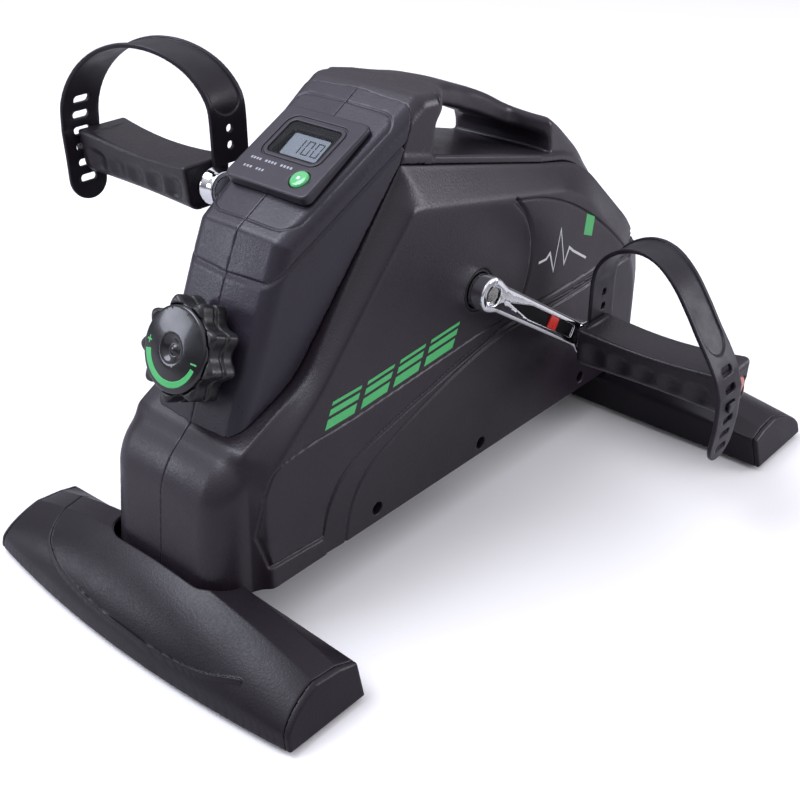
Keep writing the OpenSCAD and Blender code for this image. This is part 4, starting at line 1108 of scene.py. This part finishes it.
def side_graphics(side, word):
    def printed(name, outlines, sunk=0.0):
        x0, x1 = (side * (SIDE - sunk + edge) for edge in (PRINT_BACK, PRINT_FRONT))
        return flat_plate(word + name, outlines, x0, x1)

    return (printed("_side_stripes", side_stripes()),
            printed("_pulse_mark", ribbon(PULSE_LINE, PULSE_HALF), PANEL_DEPTH),
            printed("_badge", [BADGE], PANEL_DEPTH))


# ---- materials

class Matter:
    """A node material built up from small steps round one Principled shader."""

    def __init__(self, name, colour, rough, metal=0.0):
        self.mat = bpy.data.materials.new(name)
        self.mat.use_nodes = True
        self.tree = self.mat.node_tree
        self.skin = self.tree.nodes["Principled BSDF"]
        self.place = self.add("ShaderNodeTexCoord").outputs["Object"]
        rgb = self.add("ShaderNodeRGB")
        rgb.outputs[0].default_value = (*colour, 1)
        self.colour = rgb.outputs[0]
        value = self.add("ShaderNodeValue")
        value.outputs[0].default_value = rough
        self.rough = value.outputs[0]
        self.bump = None
        self.skin.inputs["Metallic"].default_value = metal

    def add(self, kind, **settings):
        node = self.tree.nodes.new(kind)
        for key, value in settings.items():
            setattr(node, key, value)
        return node

    def join(self, source, target):
        self.tree.links.new(source, target)

    def noise(self, size, detail=2.0, stretch=(1, 1, 1)):
        """Noise with features of about that size in metres."""
        where = self.place
        if stretch != (1, 1, 1):
            scale = self.add("ShaderNodeMapping")
            scale.inputs["Scale"].default_value = stretch
            self.join(self.place, scale.inputs["Vector"])
            where = scale.outputs[0]
        node = self.add("ShaderNodeTexNoise")
        node.inputs["Scale"].default_value = 1 / size
        node.inputs["Detail"].default_value = detail
        self.join(where, node.inputs["Vector"])
        return node.outputs["Fac"]

    def remap(self, source, low, high, to_low=0.0, to_high=1.0):
        node = self.add("ShaderNodeMapRange")
        for key, value in zip(("From Min", "From Max", "To Min", "To Max"), (low, high, to_low, to_high)):
            node.inputs[key].default_value = value
        self.join(source, node.inputs["Value"])
        return node.outputs[0]

    def tint(self, mask, colour, amount):
        """Mixes a colour in where the mask is high."""
        node = self.add("ShaderNodeMix", data_type="RGBA")
        self.join(self.remap(mask, 0, 1, 0, amount), node.inputs["Factor"])
        self.join(self.colour, node.inputs[6])
        node.inputs[7].default_value = (*colour, 1)
        self.colour = node.outputs[2]
        return self

    def smudge(self, size, amount, detail=3.0, stretch=(1, 1, 1)):
        """Lets the roughness wander by that amount."""
        node = self.add("ShaderNodeMath", operation="ADD", use_clamp=True)
        self.join(self.rough, node.inputs[0])
        self.join(self.remap(self.noise(size, detail, stretch), 0.3, 0.7, -amount, amount), node.inputs[1])
        self.rough = node.outputs[0]
        return self

    def relief(self, source, depth, strength=1.0):
        """Adds a height pattern of that depth in metres."""
        node = self.add("ShaderNodeBump")
        node.inputs["Strength"].default_value = strength
        node.inputs["Distance"].default_value = depth
        self.join(source, node.inputs["Height"])
        if self.bump is not None:
            self.join(self.bump, node.inputs["Normal"])
        self.bump = node.outputs[0]
        return self

    def grain(self, size, depth, detail=2.0, stretch=(1, 1, 1)):
        return self.relief(self.noise(size, detail, stretch), depth)

    def pebble(self, size, depth):
        """The spark-eroded pebble texture of a mould."""
        node = self.add("ShaderNodeTexVoronoi", feature="SMOOTH_F1")
        node.inputs["Scale"].default_value = 1 / size
        self.join(self.place, node.inputs["Vector"])
        return self.relief(node.outputs["Distance"], depth)

    def worn(self, colour, amount):
        """Lighter edges, where hands and shoes rub."""
        edge = self.add("ShaderNodeNewGeometry").outputs["Pointiness"]
        mask = self.remap(edge, 0.51, 0.58)
        rubbed = self.add("ShaderNodeMath", operation="MULTIPLY", use_clamp=True)
        self.join(mask, rubbed.inputs[0])
        self.join(self.remap(self.noise(0.006, 4), 0.35, 0.6), rubbed.inputs[1])
        return self.tint(rubbed.outputs[0], colour, amount)

    def done(self, **extra):
        self.join(self.colour, self.skin.inputs["Base Color"])
        self.join(self.rough, self.skin.inputs["Roughness"])
        if self.bump is not None:
            self.join(self.bump, self.skin.inputs["Normal"])
        for key, value in extra.items():
            self.skin.inputs[key.replace("_", " ")].default_value = value
        return self.mat


def moulded(name, colour, rough, dusty, pebble_depth=0.00006, shine=0.45):
    """Injection-moulded plastic: pebble grain, faint flow clouds, fine dusty speckle and rubbed edges."""
    m = Matter(name, colour, rough)
    cloud = m.remap(m.noise(0.045, 4), 0.35, 0.7)
    m.tint(cloud, dusty, 0.35)
    m.tint(m.remap(m.noise(0.0011, 2), 0.5, 0.75), dusty, 0.3)
    m.smudge(0.03, 0.05).smudge(0.0016, 0.04, 1)
    m.worn([min(1, 2.2 * c + 0.012) for c in colour], 0.5)
    m.pebble(0.0012, pebble_depth).grain(0.0006, pebble_depth * 0.6)
    m.grain(0.06, 0.0004, 1)
    return m.done(Specular_IOR_Level=shine)


def rubber(name, colour, rough, grain_size=0.0007):
    m = Matter(name, colour, rough)
    m.tint(m.remap(m.noise(0.02, 4), 0.4, 0.75), [2.4 * c + 0.004 for c in colour], 0.45)
    m.smudge(0.012, 0.08).worn([3.0 * c + 0.01 for c in colour], 0.4)
    m.grain(grain_size, 0.00007)
    return m.done(Specular_IOR_Level=0.3, Sheen_Weight=0.03)


def gloss(name, colour, rough, coat=0.0, **extra):
    m = Matter(name, colour, rough)
    m.tint(m.remap(m.noise(0.01, 3), 0.4, 0.8), [0.82 * c for c in colour], 0.5)
    m.smudge(0.008, 0.05).grain(0.004, 0.00001)
    return m.done(Coat_Weight=coat, Coat_Roughness=0.05, **extra)


def steel(name, colour, rough, stretch=(1, 1, 1), scratch=0.00001):
    """Metal with a drawn or brushed direction and light scratches."""
    m = Matter(name, colour, rough, metal=1.0)
    m.tint(m.remap(m.noise(0.015, 4), 0.45, 0.8), [0.6 * c for c in colour], 0.5)
    m.smudge(0.006, 0.06).smudge(0.0008, 0.05, 2, stretch)
    m.grain(0.0008, scratch, 3, stretch)
    return m.done()


def chrome(name):
    m = Matter(name, (0.86, 0.87, 0.89), 0.035, metal=1.0)
    m.tint(m.remap(m.noise(0.02, 3), 0.5, 0.8), (0.62, 0.64, 0.68), 0.35)
    m.smudge(0.012, 0.03).grain(0.008, 0.00004, 1)
    return m.done()


def painted(name, colour):
    m = Matter(name, colour, 0.32)
    m.tint(m.remap(m.noise(0.03, 3), 0.4, 0.7), [1.6 * c + 0.004 for c in colour], 0.4)
    m.smudge(0.01, 0.06).worn((0.25, 0.25, 0.26), 0.7).grain(0.0018, 0.00008)
    return m.done(Coat_Weight=0.3)


def iron(name):
    m = Matter(name, (0.22, 0.22, 0.23), 0.42, metal=1.0)
    m.tint(m.remap(m.noise(0.004, 5), 0.45, 0.7), (0.08, 0.075, 0.075), 0.8)
    m.smudge(0.006, 0.1).grain(0.0012, 0.0001, 4)
    return m.done()


def panel(name):
    """A reflective liquid-crystal panel: faint cells and slightly darker clouds."""
    m = Matter(name, (0.19, 0.225, 0.26), 0.22)
    m.tint(m.remap(m.noise(0.02, 2), 0.4, 0.7), (0.15, 0.185, 0.215), 0.5)
    m.tint(m.remap(m.noise(0.0006, 1), 0.5, 0.7), (0.23, 0.265, 0.30), 0.3)
    m.smudge(0.01, 0.04)
    return m.done(Coat_Weight=0.5, Coat_Roughness=0.04)


def clear(name):
    """A thin clear pane: mostly see-through, with a little gloss."""
    m = Matter(name, (0.03, 0.035, 0.035), 0.06)
    m.smudge(0.01, 0.03).tint(m.remap(m.noise(0.01, 3), 0.4, 0.7), (0.02, 0.025, 0.025), 0.4)
    mat = m.done()
    pane = m.add("ShaderNodeMixShader")
    pane.inputs[0].default_value = 0.05
    m.join(m.add("ShaderNodeBsdfTransparent").outputs[0], pane.inputs[1])
    m.join(m.skin.outputs[0], pane.inputs[2])
    m.join(pane.outputs[0], m.tree.nodes["Material Output"].inputs["Surface"])
    return mat


DUST = (0.026, 0.0195, 0.028)
PALE_DUST = (0.030, 0.026, 0.038)

# Colour, roughness, dust colour, pebble depth and shine.
MOULDED = {
    "body_plastic": ((0.0150, 0.0100, 0.0155), 0.36, DUST),
    "cover_plastic": ((0.0165, 0.0115, 0.0175), 0.36, DUST),
    "column_plastic": ((0.0190, 0.0150, 0.0235), 0.36, PALE_DUST),
    "bezel_plastic": ((0.0190, 0.0155, 0.0235), 0.36, PALE_DUST, 0.00003),
    "foot_plastic": ((0.0105, 0.0075, 0.0110), 0.36, (0.018, 0.014, 0.020), 0.00006, 0.3),
    "inner_plastic": ((0.012, 0.012, 0.013), 0.5, (0.02, 0.02, 0.02)),
    "pedal_plastic": ((0.0120, 0.0085, 0.0125), 0.38, (0.021, 0.017, 0.023), 0.00012),
    "knob_plastic": ((0.010, 0.010, 0.011), 0.34, (0.02, 0.02, 0.022), 0.00004),
}

# Colour, roughness and size of the grain.
RUBBER = {
    "pad_rubber": ((0.010, 0.010, 0.011), 0.7),
    "hub_rubber": ((0.008, 0.008, 0.009), 0.6),
    "belt_rubber": ((0.009, 0.009, 0.009), 0.55),
    "strap_rubber": ((0.0105, 0.0080, 0.0120), 0.40, 0.0012),
}

# Colour, roughness, stretch of the brushing and depth of the scratches.
STEEL = {
    "tube_steel": ((0.45, 0.46, 0.47), 0.35, (0.02, 1, 1)),
    "zinc_steel": ((0.55, 0.55, 0.52), 0.28),
    "bush_bronze": ((0.50, 0.33, 0.14), 0.42, (1, 1, 1), 0.00004),
    "ground_steel": ((0.58, 0.59, 0.61), 0.2, (0.05, 1, 1)),
    "spring_steel": ((0.42, 0.42, 0.44), 0.25, (1, 1, 0.1)),
    "bracket_steel": ((0.45, 0.46, 0.48), 0.38, (0.1, 1, 1)),
    "magnet_metal": ((0.30, 0.30, 0.32), 0.2),
}

# Colour, roughness and coat.
GLOSS = {
    "cable_sheath": ((0.012, 0.012, 0.012), 0.3),
    "dial_gloss": ((0.006, 0.006, 0.008), 0.2, 0.35),
    "board_green": ((0.01, 0.09, 0.035), 0.25),
    "battery_jacket": ((0.03, 0.12, 0.25), 0.25),
    "print_green": ((0.075, 0.50, 0.15), 0.38),
    # This white serves both the printed pulse mark and the painted highlight on the key.
    "print_white": ((0.72, 0.73, 0.74), 0.4),
    "print_dark": ((0.02, 0.028, 0.03), 0.3),
    "print_grey": ((0.38, 0.39, 0.43), 0.4),
    "tab_red": ((0.62, 0.03, 0.02), 0.3, 0.3),
}


def material_set():
    """One material for each slot of the record, and a few for printed marks and for the painted highlight on the
    key.
    """
    tables = ((moulded, MOULDED), (rubber, RUBBER), (steel, STEEL), (gloss, GLOSS))
    made = {name: make(name, *values) for make, table in tables for name, values in table.items()}
    made["frame_paint"] = painted("frame_paint", (0.012, 0.012, 0.013))
    made["arm_chrome"] = chrome("arm_chrome")
    made["flywheel_iron"] = iron("flywheel_iron")
    made["window_clear"] = clear("window_clear")
    made["lcd_panel"] = panel("lcd_panel")
    made["plug_plastic"] = gloss("plug_plastic", (0.68, 0.17, 0.13), 0.28, 0.2, Subsurface_Weight=0.2,
                                 Subsurface_Scale=0.004)
    made["button_green"] = gloss("button_green", (0.10, 0.50, 0.17), 0.16, 0.6, Subsurface_Weight=0.15,
                                 Subsurface_Scale=0.003)
    made["inlay_black"] = gloss("inlay_black", (0.005, 0.005, 0.006), 0.5, Specular_IOR_Level=0.15)
    return made


# ---- putting the pieces on their bodies

MATERIALS = material_set()


def fit(piece, finish, body, *stands_for):
    """Paints a piece, sets it on its body and hides the CAD nodes that it stands for."""
    piece.data.materials.clear()
    piece.data.materials.append(MATERIALS[finish])
    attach(piece, body)
    if stands_for:
        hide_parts(*stands_for)


def paint_frame():
    """Gives each CAD node that stays on show the material of its slot."""
    for part in frame["record"]["subparts"]:
        mesh = NODES[part["node"]].data
        mesh.materials.clear()
        mesh.materials.append(MATERIALS[part["material_slot"]])


def build():
    for piece, node in zip(body_shells(), ("right_shell", "left_shell")):
        fit(piece, "body_plastic", "base", node)
    for piece, node in zip(column_halves(), ("column_right", "column_left")):
        fit(piece, "column_plastic", "base", node)
    fit(handle_cover(), "cover_plastic", "base", "top_cover")
    for make, place in ((front_foot, "front"), (rear_foot, "rear")):
        cover, ends = make()
        fit(cover, "foot_plastic", "base", place + "_foot_cover")
        fit(ends, "foot_plastic", "base", place + "_foot_caps")
    for side, word in ((1, "right"), (-1, "left")):
        grip, strap, lens, hook = pedal_set(side, word)
        fit(hook, "pedal_plastic", word + "_pedal")
        fit(grip, "pedal_plastic", word + "_pedal", word + "_pedal_body")
        fit(strap, "strap_rubber", word + "_pedal", word + "_pedal_strap")
        fit(lens, "plug_plastic", word + "_pedal", word + "_pedal_plug")
        arm, inlay, tab = crank_set(side, word)
        fit(arm, "arm_chrome", "crank", word + "_crank_arm")
        fit(inlay, "inlay_black", "crank")
        fit(tab, "tab_red", "crank")
        stripes, pulse, badge = side_graphics(side, word)
        fit(stripes, "print_green", "base")
        fit(pulse, "print_white", "base")
        fit(badge, "print_green", "base")
    knob, dial, arc, marks = knob_set()
    fit(knob, "knob_plastic", "knob", "tension_knob")
    fit(dial, "dial_gloss", "knob", "knob_dial")
    fit(arc, "print_green", "knob")
    fit(marks, "print_green", "knob")
    frame_piece, key, words, button_glint, digits, well = display()
    fit(well, "inlay_black", "base")
    fit(frame_piece, "bezel_plastic", "base", "console_bezel")
    fit(key, "button_green", "button", "select_button")
    fit(words, "print_grey", "base")
    # The white square on the key is a painted highlight.
    fit(button_glint, "print_white", "button")
    fit(digits, "print_dark", "base")


# ---- floor, light and camera

FLOOR_HALF = 8.0
FLOOR_DROP = 0.0003
EYE = (0.44166, -0.50015, 0.44677)
EYE_TURN = (math.radians(59.75), 0, math.radians(41.37))


def floor():
    """A pale sheet; only the camera sees it at full brightness, so the object keeps its contrast."""
    mesh = bpy.data.meshes.new("floor")
    corners = [(x * FLOOR_HALF, y * FLOOR_HALF, 0) for x, y in ((-1, -1), (1, -1), (1, 1), (-1, 1))]
    mesh.from_pydata(corners, [], [(0, 1, 2, 3)])
    piece = bpy.data.objects.new("floor", mesh)
    piece.location.z = -FLOOR_DROP
    bpy.context.scene.collection.objects.link(piece)
    pale = Matter("floor", (0.50, 0.49, 0.50), 0.7)
    seen = pale.add("ShaderNodeLightPath").outputs["Is Camera Ray"]
    pale.tint(seen, (0.96, 0.95, 0.93), 1.0).smudge(0.3, 0.03)
    mesh.materials.append(pale.done(Specular_IOR_Level=0.1))


# Name, place and size in metres, power in watts, and colour.
SOFTBOXES = [("key", (-0.72, -0.7, 1.7), (1.3, 1.0), 27, (0.82, 0.86, 1)),
             ("front", (-1.7, -1.6, 0.7), (0.9, 0.6), 9, (0.83, 0.87, 1)),
             ("rim", (1.3, 1.2, 0.7), (1.0, 0.7), 14, (0.93, 0.92, 1))]
AIM = Vector((0, 0, 0.12))


def softbox(name, place, size, power, tint):
    """A rectangular lamp that points at the middle of the object."""
    lamp = bpy.data.lights.new(name, "AREA")
    lamp.shape = "RECTANGLE"
    lamp.size, lamp.size_y = size
    lamp.energy = power
    lamp.color = tint
    piece = bpy.data.objects.new(name, lamp)
    piece.location = place
    piece.rotation_euler = (AIM - Vector(place)).to_track_quat("-Z", "Y").to_euler()
    bpy.context.scene.collection.objects.link(piece)


def sky():
    """Bright overhead, dim towards the horizon, and plain white behind the object."""
    world = bpy.data.worlds.new("studio")
    world.use_nodes = True
    tree = world.node_tree
    back = tree.nodes["Background"]
    where = tree.nodes.new("ShaderNodeTexCoord")
    split = tree.nodes.new("ShaderNodeSeparateXYZ")
    ramp = tree.nodes.new("ShaderNodeMapRange")
    ramp.interpolation_type = "SMOOTHSTEP"
    for key, value in (("From Min", 0.05), ("From Max", 0.95), ("To Min", 0.22), ("To Max", 1.15)):
        ramp.inputs[key].default_value = value
    seen = tree.nodes.new("ShaderNodeLightPath")
    choose = tree.nodes.new("ShaderNodeMix")
    choose.inputs["B"].default_value = 1.0
    tree.links.new(where.outputs["Generated"], split.inputs[0])
    tree.links.new(split.outputs["Z"], ramp.inputs["Value"])
    tree.links.new(ramp.outputs[0], choose.inputs["A"])
    tree.links.new(seen.outputs["Is Camera Ray"], choose.inputs["Factor"])
    tree.links.new(choose.outputs["Result"], back.inputs["Strength"])
    back.inputs["Color"].default_value = (0.915, 0.91, 1.0, 1)
    bpy.context.scene.world = world


def camera():
    lens = bpy.data.cameras.new("camera")
    lens.lens = 53.03
    lens.sensor_width = 36
    lens.clip_start = 0.02
    eye = bpy.data.objects.new("camera", lens)
    eye.location = EYE
    eye.rotation_euler = EYE_TURN
    bpy.context.scene.collection.objects.link(eye)
    bpy.context.scene.camera = eye


paint_frame()
build()
floor()
for name, place, size, power, tint in SOFTBOXES:
    softbox(name, place, size, power, tint)
sky()
camera()
bpy.context.scene.view_settings.view_transform = "Standard"
